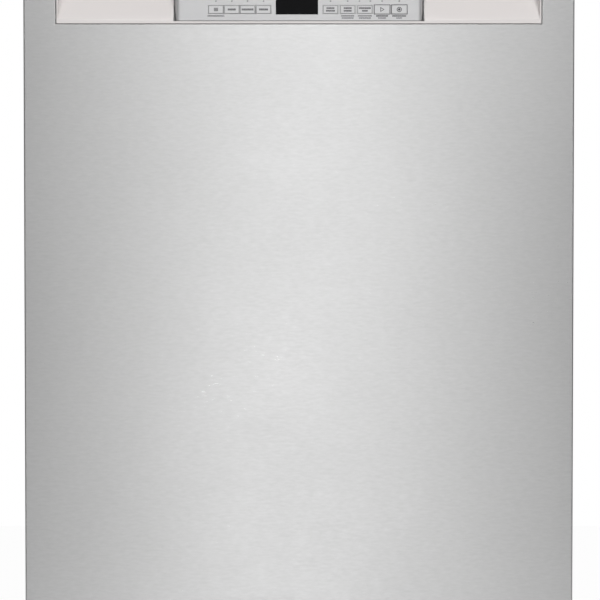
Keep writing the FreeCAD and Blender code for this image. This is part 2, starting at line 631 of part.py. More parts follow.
def door_liner():
    """Inner door tray with openings for the dispenser and the latch."""
    low = "liner_bottom"
    start = f"{FRONT} + pan_depth"
    piece = Piece("door_liner")
    piece.pad("XZ", [rect("-liner_half", low, "liner_half", "liner_top")], start, DOOR_BACK)
    piece.pocket("XZ", [rect("-(liner_half - sheet_steel)", f"{low} + sheet_steel",
                             "liner_half - sheet_steel", "liner_top - sheet_steel")],
                 f"{start} - 1", LINER_FACE)
    for side in ("-", ""):
        piece.pocket("XZ", [rect(f"{side}(liner_half + 1)", f"{low} - 1", f"{side}notch_half",
                                 "notch_top")], f"{start} - 1", f"{DOOR_BACK} + 1")
    piece.pocket("XZ", [rect("-(dispenser_half - 4)", "dispenser_low + 4", "dispenser_half - 4",
                             "dispenser_high - 4")], f"{LINER_FACE} - 1", f"{DOOR_BACK} + 1")
    piece.pocket("XZ", [rect("-latch_throat_half", "latch_throat_low", "latch_throat_half",
                             "latch_throat_high")], f"{LINER_FACE} - 1", f"{DOOR_BACK} + 1")
    node("door_liner", piece.body)


def pocket_housing():
    """Plastic housing behind the recess: two scooped finger pockets and the island's seat."""
    back = f"{SKIN_BACK} + housing_depth"
    piece = Piece("pocket_housing")
    piece.pad("XZ", [rect("-housing_half", "housing_bottom", "housing_half", "housing_top")],
              SKIN_BACK, back)
    lip = "recess_bottom + lip_rise"
    scoop = [(f"{SKIN_BACK} - 1", lip), (SKIN_BACK, lip),
             (f"{SKIN_BACK} + ramp_one_y", "recess_bottom + ramp_one_z"),
             (f"{SKIN_BACK} + ramp_two_y", "recess_bottom + ramp_two_z"),
             (f"{SKIN_BACK} + pocket_floor", "recess_top + 3"),
             (f"{SKIN_BACK} + pocket_floor", "pocket_roof"),
             (f"{SKIN_BACK} + lip_wall", "pocket_roof"), (f"{SKIN_BACK} + lip_wall", "recess_top"),
             (f"{SKIN_BACK} - 1", "recess_top")]
    island = "island_half + fit_gap"
    for low, high in (("-recess_half", neg(island)), (island, "recess_half")):
        piece.pocket("YZ", [scoop], low, high)
    piece.pocket("XZ", [rect(neg(island), "recess_bottom + island_lift - fit_gap", island,
                             "recess_top")],
                 f"{SKIN_BACK} - 1", f"{SKIN_BACK} + island_depth + 4")
    node("pocket_housing", piece.body)


def key_middles():
    """Centre of each key across the console: four to the left, five to the right."""
    left = [f"key_first + {i} * key_pitch" for i in range(4)]
    right = [f"key_fifth + {i} * key_step" for i in range(5)]
    return left + right


def lamp_middles():
    """One lamp over each key, and two over the seventh."""
    spots = key_middles()
    seventh = spots.pop(6)
    return spots + [f"{seventh} - lamp_spread", f"{seventh} + lamp_spread"]


def control_fascia():
    """Console island: a hollow cap with rounded sides and openings for keys, lamps and display."""
    low = "recess_bottom + island_lift"
    high = "recess_top - fit_gap"
    back = f"{FACE} + island_depth"
    piece = Piece("control_fascia")
    piece.pad("XZ", [rect("-island_half", low, "island_half", high)], FACE, back)
    piece.fillet("island_round", lambda e: at_y(e, FACE) and along(e, "Z"))
    wall = "island_wall"
    piece.pocket("XZ", [rect(f"{wall} - island_half", f"{low} + {wall}", f"island_half - {wall}",
                             f"{high} - {wall}")], f"{FACE} + {wall}", f"{back} + 1")
    floor = "recess_bottom + key_rise - key_gap"
    ceiling = "recess_bottom + key_rise + key_height + key_gap"
    holes = [rect(f"{x} - key_width / 2 - key_gap", floor, f"{x} + key_width / 2 + key_gap", ceiling)
             for x in key_middles()]
    holes += [(x, "recess_bottom + lamp_rise", "lamp_radius + running_gap") for x in lamp_middles()]
    holes.append(rect("window_middle - window_half", "recess_bottom + window_rise",
                      "window_middle + window_half", "recess_bottom + window_rise + window_height"))
    piece.pocket("XZ", holes, f"{FACE} - 1", f"{FACE} + {wall} + 1")
    node("control_fascia", piece.body)


def console_parts():
    """Keys, lamps, display window and the circuit board behind them."""
    low = "recess_bottom + key_rise"
    for place_number, x in enumerate(key_middles(), 1):
        key = Piece(f"key_{place_number}")
        key.pad("XZ", [rect(f"{x} - key_width / 2", low, f"{x} + key_width / 2",
                            f"{low} + key_height")],
                f"{FACE} - key_proud", f"{FACE} - key_proud + key_depth")
        key.fillet("0.25", lambda e: at_y(e, f"{FACE} - key_proud"))
        node(f"key_{place_number}", key.body)
    lamps = [rod("Y", x, f"{FACE} - 0.1", "recess_bottom + lamp_rise", "lamp_radius", "lamp_depth")
             for x in lamp_middles()]
    node("indicator_lights", *lamps)
    node("display_window",
         box("window_middle - window_half + fit_gap / 2", f"{FACE} - 0.1",
             "recess_bottom + window_rise + fit_gap / 2", "window_middle + window_half - fit_gap / 2",
             f"{FACE} - 0.1 + window_depth",
             "recess_bottom + window_rise + window_height - fit_gap / 2"))
    board_front = f"{FACE} + board_setback"
    node("control_board",
         box("-board_half", board_front, "recess_bottom + board_margin", "board_half",
             f"{board_front} + board_thick", "recess_top - board_margin"))


def sound_pad():
    """Deadening pad glued behind the steel skin."""
    node("sound_pad", box("-pad_half", f"{SKIN_BACK} + fit_gap", "pad_bottom", "pad_half",
                          f"{SKIN_BACK} + pad_depth", "pad_top"))


def bottom_seal():
    """Rubber lip across the foot of the inner door."""
    node("bottom_seal", box("-seal_half", DOOR_BACK, "seal_bottom", "seal_half",
                            f"{DOOR_BACK} + seal_depth", "seal_bottom + seal_height"))


def hinge_arms():
    """Steel arms inside the door's sides, each with a pivot hole and a crank pin."""
    piece = Piece("arm_half")
    outline = [("arm_front", "door_bottom + 3"), ("arm_front", "arm_top"), ("arm_back", "arm_top"),
               ("arm_back", "notch_top - 5"), ("pivot_y + crank - 6", "pivot_z + crank + 9"),
               ("pivot_y + crank + 7", "pivot_z + crank + 6"),
               ("pivot_y + crank + 7", "pivot_z + crank - 7"),
               ("pivot_y + lug_radius", "pivot_z - lug_radius + 1"),
               ("pivot_y - lug_radius", "pivot_z - lug_radius + 1")]
    piece.pad("YZ", [outline], "arm_inner", "arm_inner + arm_thick")
    piece.pocket("YZ", [("pivot_y", "pivot_z", "pin_radius + running_gap")],
                 "arm_inner - 1", "arm_inner + arm_thick + 1")
    crank = rod("X", "arm_inner + arm_thick / 2", "pivot_y + crank", "pivot_z + crank", "crank_pin",
                "yoke_inner + yoke_thick + 1 - arm_inner - arm_thick / 2")
    pair("hinge_arms", fuse(piece.body, crank))


def latch():
    """Latch housing with a throat for the tongue, and the sprung pawl inside it."""
    front = f"{LINER_FACE} - latch_depth"
    outer = box("-latch_half", front, "latch_low", "latch_half", LINER_FACE, "liner_top - 1.3")
    throat = box("-latch_throat_half", f"{front} + 2", "latch_throat_low", "latch_throat_half",
                 f"{LINER_FACE} + 1", "latch_throat_high")
    node("latch_housing", cut(outer, throat))
    blade = box("-pawl_half", "pawl_pivot_y", "pawl_low", "pawl_half", "pawl_pivot_y + pawl_length",
                "pawl_high")
    pin = rod("X", "0.5 - latch_throat_half", "pawl_pivot_y", "pawl_pivot_z", "pawl_pin",
              "2 * latch_throat_half - 1")
    node("latch_pawl", fuse(blade, pin))


def door_screws():
    """Pan-head screws down both edges of the inner door."""
    heads = []
    for side in ("-", ""):
        for step in range(5):
            z = f"205 + {step} * 128"
            heads.append(rod("Y", f"{side}(liner_half - 5)", DOOR_BACK, z, "2.9", "1.6"))
    node("door_screws", *heads)


def dispenser():
    """Detergent dispenser: body with a cup, sliding lid and rinse-aid cap."""
    front = f"{LINER_FACE} - dispenser_depth"
    face = f"{DOOR_BACK} + dispenser_proud"
    piece = Piece("dispenser_body")
    piece.pad("XZ", [rect("-(dispenser_half - 5)", "dispenser_low + 5", "dispenser_half - 5",
                          "dispenser_high - 5")], front, f"{DOOR_BACK} + 0.5")
    piece.pad("XZ", [rect("-dispenser_half", "dispenser_low", "dispenser_half", "dispenser_high")],
              DOOR_BACK, face)
    piece.fillet("1.2", lambda e: at_y(e, face))
    piece.pocket("XZ", [rect("cup_left", "cup_low", "cup_right", "cup_high")],
                 f"{face} - cup_deep", f"{face} + 1")
    node("dispenser_body", piece.body)
    lid_back = f"{face} + 0.2"
    lid = Piece("dispenser_lid")
    lid.pad("XZ", [rect("cup_left - lid_margin", "cup_low - lid_margin", "cup_right + lid_margin",
                        "cup_high + lid_margin")], lid_back, f"{lid_back} + lid_thick")
    lid.fillet("0.9", lambda e: at_y(e, f"{lid_back} + lid_thick"))
    lid.pad("XZ", [rect("cup_left + 16", "cup_low + 10", "cup_right - 16", "cup_low + 14")],
            f"{lid_back} + lid_thick - 0.5", f"{lid_back} + lid_thick + lid_grip")
    node("dispenser_lid", lid.body)
    disc = rod("Y", "cap_x", lid_back, "cap_z", "cap_radius", "cap_thick")
    grip = box("cap_x - cap_radius + 3", f"{lid_back} + cap_thick - 0.5", "cap_z - 2",
               "cap_x + cap_radius - 3", f"{lid_back} + cap_thick + cap_grip", "cap_z + 2")
    node("rinse_cap", fuse(disc, grip))


# ---- racks ----

def wires(axis, spots, radius, length):
    return [rod(axis, x, y, z, radius, length) for x, y, z in spots]


def wire_basket(floor, rim, tine, tine_columns, tine_rows):
    """A welded wire rack: U-shaped cross wires, lengthwise wires, two rims and rows of tines."""
    across = "2 * rack_half"
    lengthwise = "rack_back - rack_front"
    tall = f"{rim} - {floor}"
    parts = []
    rows = [f"rack_front + 8 + {i} * (rack_back - rack_front - 16) / 11" for i in range(12)]
    parts += wires("X", [("-rack_half", y, floor) for y in rows], "wire", across)
    for side in ("-", ""):
        parts += wires("Z", [(f"{side}rack_half", y, floor) for y in rows], "wire", tall)
    columns = [f"{i} * 56" for i in range(-4, 5)]
    under = f"{floor} - 2 * wire"
    parts += wires("Y", [(x, "rack_front", under) for x in columns], "wire", lengthwise)
    for y in ("rack_front", "rack_back"):
        parts += wires("Z", [(x, y, under) for x in columns], "wire", f"{tall} + 2 * wire")
    for level in (rim, f"({floor} + {rim}) / 2"):
        for side in ("-", ""):
            parts += wires("Y", [(f"{side}rack_half", "rack_front", level)], "rim_wire", lengthwise)
        for y in ("rack_front", "rack_back"):
            parts += wires("X", [("-rack_half", y, level)], "rim_wire", across)
    for x in tine_columns:
        parts += wires("Z", [(x, y, floor) for y in tine_rows], "wire", tine)
    return parts


def upper_rack():
    rows = [f"rack_front + 29 + {i} * 34" for i in range(13)]
    parts = wire_basket("upper_floor", "upper_rim", "upper_tine", ["-84", "28", "140"], rows)
    node("upper_rack", *parts)


def upper_manifold():
    """Feed duct under the upper rack, with the post that carries its spray arm."""
    duct = box("-manifold_half", "hub_y", "manifold_low", "manifold_half", "manifold_back",
               "manifold_high")
    boss = rod("Z", "0", "hub_y", "upper_hub_high + 1", "hub_radius - 1",
               "manifold_high - upper_hub_high - 1")
    post = rod("Z", "0", "hub_y", "upper_post_low", "upper_post", "manifold_low - upper_post_low + 2")
    node("upper_manifold", fuse(duct, boss, post))


def cup_shelf():
    """Fold-up wire shelf along the upper rack's left side."""
    parts = wires("Y", [("shelf_x", "-shelf_half", "shelf_z"),
                        ("shelf_x + shelf_reach", "-shelf_half", "shelf_z")], "rim_wire",
                  "2 * shelf_half")
    rows = [f"(-2 + {i}) * shelf_half / 2.2" for i in range(5)]
    parts += wires("X", [("shelf_x", y, "shelf_z") for y in rows], "wire", "shelf_reach")
    node("cup_shelf", *parts)


def lower_rack():
    """Lower rack with struts and axle stubs for its four wheels."""
    rows = [f"rack_front + 29 + {i} * 34" for i in range(13)]
    parts = wire_basket("lower_floor", "lower_rim", "lower_tine", ["-196", "-84", "28", "112"], rows)
    for side in ("-", ""):
        for y in ("wheel_front_y", "wheel_back_y"):
            parts.append(rod("Z", f"{side}strut_x", y, "wheel_z - 4", "axle_radius",
                             "lower_floor - wheel_z + 18"))
            start = f"{side}(wheel_inner + wheel_width + 1)" if side else "strut_x"
            parts.append(rod("X", start, y, "wheel_z", "axle_radius",
                             "wheel_inner + wheel_width + 1 - strut_x"))
    node("lower_rack", *parts)


def rack_wheels():
    """Wheels in pairs, one pair on each axle line."""
    for name, y in (("front_wheels", "wheel_front_y"), ("rear_wheels", "wheel_back_y")):
        disc = rod("X", "wheel_inner", y, "wheel_z", "wheel_radius", "wheel_width")
        bore = rod("X", "wheel_inner - 1", y, "wheel_z", "axle_radius + running_gap",
                   "wheel_width + 2")
        pair(name, cut(disc, bore))


def cutlery_basket():
    """Plastic basket of two cells with slotted walls and a bail handle."""
    left, right = "basket_left", "basket_right"
    front, back = "basket_front", "basket_back"
    wall = "basket_wall"
    middle = f"({front} + {back}) / 2"
    piece = Piece("cutlery_basket")
    piece.pad("XY", [rect(left, front, right, back)], "basket_low", "basket_high")
    for low, high in ((f"{front} + {wall}", f"{middle} - {wall} / 2"),
                      (f"{middle} + {wall} / 2", f"{back} - {wall}")):
        piece.pocket("XY", [rect(f"{left} + {wall}", low, f"{right} - {wall}", high)],
                     f"basket_low + {wall}", "basket_high + 1")
    slots = [rect(f"{front} + 12 + {i} * 19", "basket_low + 16",
                  f"{front} + 12 + {i} * 19 + slot_wide", "basket_high - 22")
             for i in range(12) if i != 5 and i != 6]
    piece.pocket("YZ", slots, f"{left} - 1", f"{right} + 1")
    for y0 in (f"{middle} - 40", f"{middle} + 34"):
        piece.pad("XZ", [rect(f"({left} + {right}) / 2 - 5", "basket_high - 10",
                              f"({left} + {right}) / 2 + 5", "handle_top")], y0, f"{y0} + 6")
    piece.pad("XY", [rect(f"({left} + {right}) / 2 - 5", f"{middle} - 40",
                          f"({left} + {right}) / 2 + 5", f"{middle} + 40")],
              "handle_top - 8", "handle_top")
    piece.pad("XY", [rect(f"{left} + {wall} / 2", f"{middle} - 40", f"{right} - {wall} / 2",
                          f"{middle} - 34"),
                     rect(f"{left} + {wall} / 2", f"{middle} + 34", f"{right} - {wall} / 2",
                          f"{middle} + 40")], "basket_high - 12", "basket_high - 4")
    node("cutlery_basket", piece.body)


def float_dome():
    """Overfill float: a hollow cap that water lifts."""
    outer = rod("Z", "float_x", "float_y", "float_low", "float_radius", "float_high - float_low")
    inner = rod("Z", "float_x", "float_y", "float_low - 1", "float_radius - float_wall",
                "float_high - float_low - float_wall + 1")
    node("float_dome", cut(outer, inner))


tub()
tub_gasket()
insulation_blanket()
base_frame()
levelling_legs()
toe_panel()
mounting_brackets()
door_strike()
sump()
filter_plate()
filter_cup()
heater_element()
wash_pump()
drain_pump()
drain_outlet()
inlet_valve()
junction_box()
spray_riser()
spray_arm("lower_spray_arm", "arm_low", "arm_reach", "arm_half", "arm_tip", "arm_height",
          "hub_radius", "hub_low", "hub_high", "post_radius", "hub_ceiling")
spray_arm("upper_spray_arm", "upper_arm_low", "arm_reach", "arm_half", "arm_tip", "arm_height",
          "hub_radius", "upper_arm_low", "upper_hub_high", "upper_post", "upper_hub_ceiling + 3")
spray_arm("top_spinner", "spin_low", "spin_reach", "spin_half", "spin_half - 3", "spin_half",
          "spin_hub", "spin_low", "spin_high", "spin_radius", "spin_high + 2")
rack_rails()
mid_rails()
rack_slides()
hinge_brackets()
counter_springs()
pull_rods()
door_panel()
door_liner()
pocket_housing()
control_fascia()
console_parts()
sound_pad()
bottom_seal()
hinge_arms()
latch()
door_screws()
dispenser()
upper_rack()
upper_manifold()
cup_shelf()
lower_rack()
rack_wheels()
cutlery_basket()
float_dome()
doc.recompute()

failed = [f"{item.Label} of {item.InListRecursive[-1].Label if item.InListRecursive else 0}"
          for item in doc.Objects if {"Invalid", "Error"} & set(item.State)]
for before, after in cuts:
    if after.Shape.isNull() or before.Shape.isNull():
        failed.append(f"{after.Label} is empty")
    elif after.Shape.Volume >= before.Shape.Volume - 1e-6:
        failed.append(f"{after.Label} of {after.getParentGeoFeatureGroup()} cuts nothing")
for name, item in nodes.items():
    if item.Shape.isNull() or not item.Shape.isValid() or not item.Shape.Solids:
        failed.append(f"{name} has no valid shape")
if failed:
    raise RuntimeError("; ".join(failed))

os.makedirs("parts", exist_ok=True)
for name, item in nodes.items():
    item.Shape.exportStep(f"parts/{name}.step")
print(len(nodes), "nodes written")
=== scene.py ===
# %% [markdown]
# # A built-in dishwasher, dressed for the studio
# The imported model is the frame: every body, hinge and size comes from it. This lesson puts the
# finished surfaces on that frame. Parts whose engineered shape is already right keep it and only
# get a better finish. Parts that a person would look at closely are rebuilt with mesh operators.

# %% Load the frame
import bmesh
import bpy
import json
import math
from mathutils import Matrix, Vector, noise


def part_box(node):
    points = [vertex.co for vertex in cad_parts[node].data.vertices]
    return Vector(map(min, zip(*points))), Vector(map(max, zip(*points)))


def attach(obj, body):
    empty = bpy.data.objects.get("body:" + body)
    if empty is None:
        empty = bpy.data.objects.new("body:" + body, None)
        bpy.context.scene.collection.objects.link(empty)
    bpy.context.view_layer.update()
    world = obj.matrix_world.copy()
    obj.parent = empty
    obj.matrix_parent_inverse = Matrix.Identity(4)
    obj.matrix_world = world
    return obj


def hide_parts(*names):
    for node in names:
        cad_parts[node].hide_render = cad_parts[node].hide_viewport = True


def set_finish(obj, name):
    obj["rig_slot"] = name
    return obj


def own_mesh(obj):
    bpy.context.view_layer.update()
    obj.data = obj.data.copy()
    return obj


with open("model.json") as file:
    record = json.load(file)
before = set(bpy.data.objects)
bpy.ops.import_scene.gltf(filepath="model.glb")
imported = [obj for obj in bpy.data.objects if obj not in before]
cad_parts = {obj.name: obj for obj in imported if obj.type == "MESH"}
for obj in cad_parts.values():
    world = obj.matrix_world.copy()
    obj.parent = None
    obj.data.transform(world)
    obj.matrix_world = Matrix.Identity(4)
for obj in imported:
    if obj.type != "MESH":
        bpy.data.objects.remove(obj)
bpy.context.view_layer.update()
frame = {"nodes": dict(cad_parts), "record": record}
nodes = frame["nodes"]

MM = 0.001
X, Z = Vector((1, 0, 0)), Vector((0, 0, 1))


def low(node):
    return Vector(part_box(node)[0])


def high(node):
    return Vector(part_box(node)[1])


def middle(node):
    return (low(node) + high(node)) / 2


# %% [markdown]
# ## Camera and light
# A product picture of an appliance door is taken with a long lens from a few metres away, so that
# its edges stay almost parallel. The camera stands a little above the middle of the door and
# tips down slightly. Its place is worked out from the door, so it follows the model.

# %% Camera
recess_foot = low("pocket_housing").z + 14 * MM
door_face = low("door_panel").y
DISTANCE = 3.2
VIEW_HEIGHT = 0.6620
TILT = math.radians(2.3)
aim = Vector((1.2 * MM, door_face, recess_foot - 0.3035))
lens_data = bpy.data.cameras.new("studio_camera")
lens_data.sensor_width = 36
lens_data.lens = 36 * DISTANCE / VIEW_HEIGHT
camera = bpy.data.objects.new("studio_camera", lens_data)
bpy.context.scene.collection.objects.link(camera)
camera.location = aim + DISTANCE * Vector((0, -math.cos(TILT), math.sin(TILT)))
camera.rotation_euler = (math.radians(90) - TILT, 0, 0)
lens_data.clip_end = 50
bpy.context.scene.camera = camera
print("camera at", tuple(round(v, 3) for v in camera.location), "lens", round(lens_data.lens))

# %% [markdown]
# Brushed steel shows the room more than its own colour. A tall narrow softbox straight in front
# puts one broad bright column down the middle of the door, and the grey room on both sides lets
# the edges fall away. The world is white to the camera and grey, darker above, to all else.

# %% A softbox
def softbox(name, place, target, size_x, size_y, watts):
    """A rectangular soft light that faces its target."""
    data = bpy.data.lights.new(name, "AREA")
    data.shape = "RECTANGLE"
    data.size, data.size_y = size_x, size_y
    data.energy = watts
    lamp = bpy.data.objects.new(name, data)
    bpy.context.scene.collection.objects.link(lamp)
    lamp.location = place
    lamp.rotation_euler = (Vector(target) - Vector(place)).to_track_quat("-Z", "Y").to_euler()
    return lamp

# %% [markdown]
# The steel mirrors the whole room, so the room is part of its finish. One grey, a little darker
# above than below, does this with no picture of a studio. A Light Path node lets the camera's own
# rays see white instead, which gives the clean background.

# %% Room
bpy.context.scene.view_settings.view_transform = "Standard"
world = bpy.data.worlds.new("studio_room")
bpy.context.scene.world = world
world.use_nodes = True
tree = world.node_tree
room_light = tree.nodes["Background"]
room_light.inputs["Color"].default_value = (1, 1, 1, 1)
way = tree.nodes.new("ShaderNodeTexCoord")
way_parts = tree.nodes.new("ShaderNodeSeparateXYZ")
tree.links.new(way.outputs["Generated"], way_parts.inputs["Vector"])
grade = tree.nodes.new("ShaderNodeMapRange")
for label, value in (("From Min", -0.3), ("From Max", 0.3), ("To Min", 0.275), ("To Max", 0.235)):
    grade.inputs[label].default_value = value
tree.links.new(way_parts.outputs["Z"], grade.inputs["Value"])
tree.links.new(grade.outputs["Result"], room_light.inputs["Strength"])
seen_light = tree.nodes.new("ShaderNodeBackground")
seen_light.inputs["Color"].default_value = (1, 1, 1, 1)
path = tree.nodes.new("ShaderNodeLightPath")
choice = tree.nodes.new("ShaderNodeMixShader")
tree.links.new(path.outputs["Is Camera Ray"], choice.inputs["Fac"])
tree.links.new(room_light.outputs["Background"], choice.inputs[1])
tree.links.new(seen_light.outputs["Background"], choice.inputs[2])
tree.links.new(choice.outputs["Shader"], tree.nodes["World Output"].inputs["Surface"])

# %% [markdown]
# Two large softboxes above the camera light the plastic parts, and a low one lifts the foot of
# the door. Two more behind and above the machine keep its sides from going black in other views.

# %% Softboxes
softbox("front_column", (0, -4.4, 0.6), (0, 0, 0.6), 0.46, 2.8, 15.7)
softbox("left_key", (-1.3, -3.8, 3.0), (0, 0, 0.4), 1.3, 1.3, 50)
softbox("right_key", (1.4, -3.8, 2.9), (0, 0, 0.4), 1.3, 1.3, 90)
softbox("low_fill", (0.5, -3.9, -0.6), (0, 0, 0.3), 3.4, 0.8, 3.0)
softbox("back_fill", (-1.2, 3.2, 2.2), (0, 0, 0.4), 1.6, 1.6, 18)
softbox("overhead", (0, 0.2, 3.2), (0, 0, 0.4), 1.8, 1.8, 12)


# %% [markdown]
# ## Mesh helpers
# Every new piece starts as a bmesh. When it is finished it becomes an object that sits at the
# origin, rides on its body, takes its finish from a slot of the record, and hides the plain
# engineered part that it stands for.

# %% Finishing a piece
pieces = {}
slots = {part["node"]: part["material_slot"] for part in frame["record"]["subparts"]}
print(len(slots), "nodes have a slot")


def entry_slot(node):
    """The slot that the record gives a node."""
    return slots[node]


def finish_piece(name, bm, body, slot, replaces=(), smooth=35, recalc=True):
    """Turns a bmesh into an object of the model."""
    bmesh.ops.remove_doubles(bm, verts=bm.verts, dist=0.00001)
    if recalc:
        bmesh.ops.recalc_face_normals(bm, faces=bm.faces)
    mesh = bpy.data.meshes.new(name)
    bm.to_mesh(mesh)
    bm.free()
    mesh.shade_smooth()
    mesh.set_sharp_from_angle(angle=math.radians(smooth))
    piece = bpy.data.objects.new(name, mesh)
    bpy.context.scene.collection.objects.link(piece)
    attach(piece, body)
    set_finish(piece, slot)
    if replaces:
        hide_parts(*replaces)
    pieces[name] = piece
    return piece

# %% [markdown]
# Most moulded and folded details are boxes with softened edges. A cube is scaled between two
# corners and bevelled, so no edge is left sharper than a mould would leave it. Fins, ribs and
# spokes are the same box set round an axis.

# %% Boxes
def add_box(bm, corner_a, corner_b, bevel=0.0, segments=2):
    """A box between two corners, with its edges rounded."""
    a, b = Vector(corner_a), Vector(corner_b)
    made = bmesh.ops.create_cube(bm, size=1.0)["verts"]
    size = b - a
    bmesh.ops.scale(bm, vec=(abs(size.x), abs(size.y), abs(size.z)), verts=made)
    bmesh.ops.translate(bm, vec=(a + b) / 2, verts=made)
    if bevel:
        edges = list({e for v in made for e in v.link_edges})
        made = bmesh.ops.bevel(bm, geom=edges, offset=bevel, segments=segments, profile=0.5,
                               affect="EDGES", material=-1, clamp_overlap=True)["verts"]
    return made


def ring_of_boxes(bm, count, corner_a, corner_b, bevel, axis, centre):
    """Equal boxes set round an axis, such as fins, ribs or spokes."""
    for i in range(count):
        box = add_box(bm, corner_a, corner_b, bevel, 1)
        turn = Matrix.Rotation(math.tau * i / count, 3, axis)
        bmesh.ops.rotate(bm, cent=(0, 0, 0), matrix=turn, verts=box)
        bmesh.ops.translate(bm, vec=centre, verts=box)

# %% [markdown]
# Stems, caps and wheels are turned on a lathe or moulded round. A cylinder does for a plain stem.
# Anything with steps or rounded rims is an outline that spin carries once round its axis, which
# is how the real outline is cut. The last step merges with the first, so no seam stays open.

# %% Rods and turned shapes
def turn_to(axis):
    """The rotation that stands a shape made along +Z along another axis."""
    return Z.rotation_difference(Vector(axis)).to_matrix().to_4x4()


def add_rod(bm, start, axis, radius, length, sides=24, bevel=0.0):
    """A cylinder that starts at a point and runs along an axis."""
    axis = Vector(axis).normalized()
    made = bmesh.ops.create_cone(bm, cap_ends=True, cap_tris=False, segments=sides, radius1=radius,
                                 radius2=radius, depth=length)["verts"]
    place = Matrix.Translation(Vector(start) + axis * length / 2) @ turn_to(axis)
    bmesh.ops.transform(bm, matrix=place, verts=made)
    if bevel:
        rims = [e for e in {e for v in made for e in v.link_edges}
                if any(len(f.verts) > 4 for f in e.link_faces)]
        bmesh.ops.bevel(bm, geom=rims, offset=bevel, segments=2, profile=0.5, affect="EDGES",
                        material=-1, clamp_overlap=True)
    return made


def add_turned(bm, outline, start, axis, sides=32):
    """A turned shape: an outline of (radius, height) points spun once round an axis."""
    verts = [bm.verts.new((radius, 0, height)) for radius, height in outline]
    edges = [bm.edges.new(pair) for pair in zip(verts, verts[1:])]
    bmesh.ops.spin(bm, geom=verts + edges, cent=(0, 0, 0), axis=(0, 0, 1), angle=math.tau,
                   steps=sides, use_merge=True, use_duplicate=False)
    island = set(verts)
    front = list(verts)
    while front:
        vert = front.pop()
        for edge in vert.link_edges:
            other = edge.other_vert(vert)
            if other not in island:
                island.add(other)
                front.append(other)
    bmesh.ops.transform(bm, matrix=Matrix.Translation(Vector(start)) @ turn_to(axis),
                        verts=list(island))
    return list(island)

# %% [markdown]
# Rack wires and seals keep one section and turn through round bends. A curve object with a bevel
# would do it too, but its bends would need handles. Here a circle is extruded along each run and
# spun round at each corner, which is how a bending machine works.

# %% Bent wire
def add_wire(bm, corners, radius, bend, sides=8, steps=4, closed_ends=True):
    """Bent wire: a ring is drawn along the runs and spun round at each corner."""
    points = [Vector(c) for c in corners]
    runs = [(b - a).normalized() for a, b in zip(points, points[1:])]
    ring = bmesh.ops.create_circle(bm, cap_ends=False, radius=radius, segments=sides)["verts"]
    bmesh.ops.transform(bm, matrix=Matrix.Translation(points[0]) @ turn_to(runs[0]), verts=ring)
    edges = list({e for v in ring for e in v.link_edges})
    caps = [list(edges)]
    here = points[0].copy()

    def run_to(target, edges, here):
        grown = bmesh.ops.extrude_edge_only(bm, edges=edges)["geom"]
        moved = [g for g in grown if isinstance(g, bmesh.types.BMVert)]
        bmesh.ops.translate(bm, vec=target - here, verts=moved)
        ends = set(moved)
        return [g for g in grown if isinstance(g, bmesh.types.BMEdge)
                and all(v in ends for v in g.verts)], target.copy()

    for i in range(1, len(points) - 1):
        before, after = runs[i - 1], runs[i]
        turn = before.angle(after)
        if turn < 0.01:
            continue
        setback = bend * math.tan(turn / 2)
        edges, here = run_to(points[i] - before * setback, edges, here)
        axis = before.cross(after).normalized()
        inward = axis.cross(before).normalized()
        centre = here + inward * bend
        spun = bmesh.ops.spin(bm, geom=edges, cent=centre, axis=axis, angle=turn, steps=steps,
                              use_merge=False, use_duplicate=False)["geom_last"]
        edges = [g for g in spun if isinstance(g, bmesh.types.BMEdge)]
        here = points[i] + after * setback
    edges, here = run_to(points[-1], edges, here)
    caps.append(edges)
    if closed_ends:
        for cap in caps:
            bmesh.ops.contextual_create(bm, geom=cap)


# %% [markdown]
# ## Effects shared by the finishes
# Grain, blotches and edge wear turn up in nearly every finish, so each is one node group with
# named inputs. A group only gives out masks and values. The shader itself stays in the material,
# where its plain numbers are set directly on its sockets.

# %% Group helpers
def new_group(name, inputs, outputs):
    group = bpy.data.node_groups.new(name, "ShaderNodeTree")
    for label, kind, value in inputs:
        socket = group.interface.new_socket(label, in_out="INPUT", socket_type=kind)
        socket.default_value = value
    for label, kind in outputs:
        group.interface.new_socket(label, in_out="OUTPUT", socket_type=kind)
    entry = group.nodes.new("NodeGroupInput")
    leave = group.nodes.new("NodeGroupOutput")
    return group, entry, leave


def math_node(tree, operation, a, b=None, clamp=False):
    node = tree.nodes.new("ShaderNodeMath")
    node.operation = operation
    node.use_clamp = clamp
    for socket, value in zip(node.inputs, (a, b)):
        if value is None:
            continue
        if isinstance(value, (int, float)):
            socket.default_value = value
        else:
            tree.links.new(value, socket)
    return node.outputs[0]

# %% [markdown]
# Nothing handled is evenly clean. Soft patches of grease, dye or casting tone come from one noise
# texture on Object coordinates, pushed apart round its middle value by a contrast.

# %% Blotches
def blotch_group():
    """Soft uneven patches: finger grease, casting tone, uneven dye."""
    group, entry, leave = new_group(
        "Blotches", [("Scale", "NodeSocketFloat", 6.0), ("Contrast", "NodeSocketFloat", 1.0)],
        [("Mask", "NodeSocketFloat")])
    place = group.nodes.new("ShaderNodeTexCoord")
    cloud = group.nodes.new("ShaderNodeTexNoise")
    cloud.inputs["Detail"].default_value = 4
    cloud.inputs["Roughness"].default_value = 0.55
    group.links.new(place.outputs["Object"], cloud.inputs["Vector"])
    group.links.new(entry.outputs["Scale"], cloud.inputs["Scale"])
    centred = math_node(group, "SUBTRACT", cloud.outputs["Fac"], 0.5)
    spread = math_node(group, "MULTIPLY", centred, entry.outputs["Contrast"])
    mask = math_node(group, "ADD", spread, 0.5, clamp=True)
    group.links.new(mask, leave.inputs["Mask"])
    return group

# %% [markdown]
# Brushing leaves long thin marks that all run one way. The same noise gives them once its
# coordinates are squeezed: a large number on one axis makes the marks thin along it.

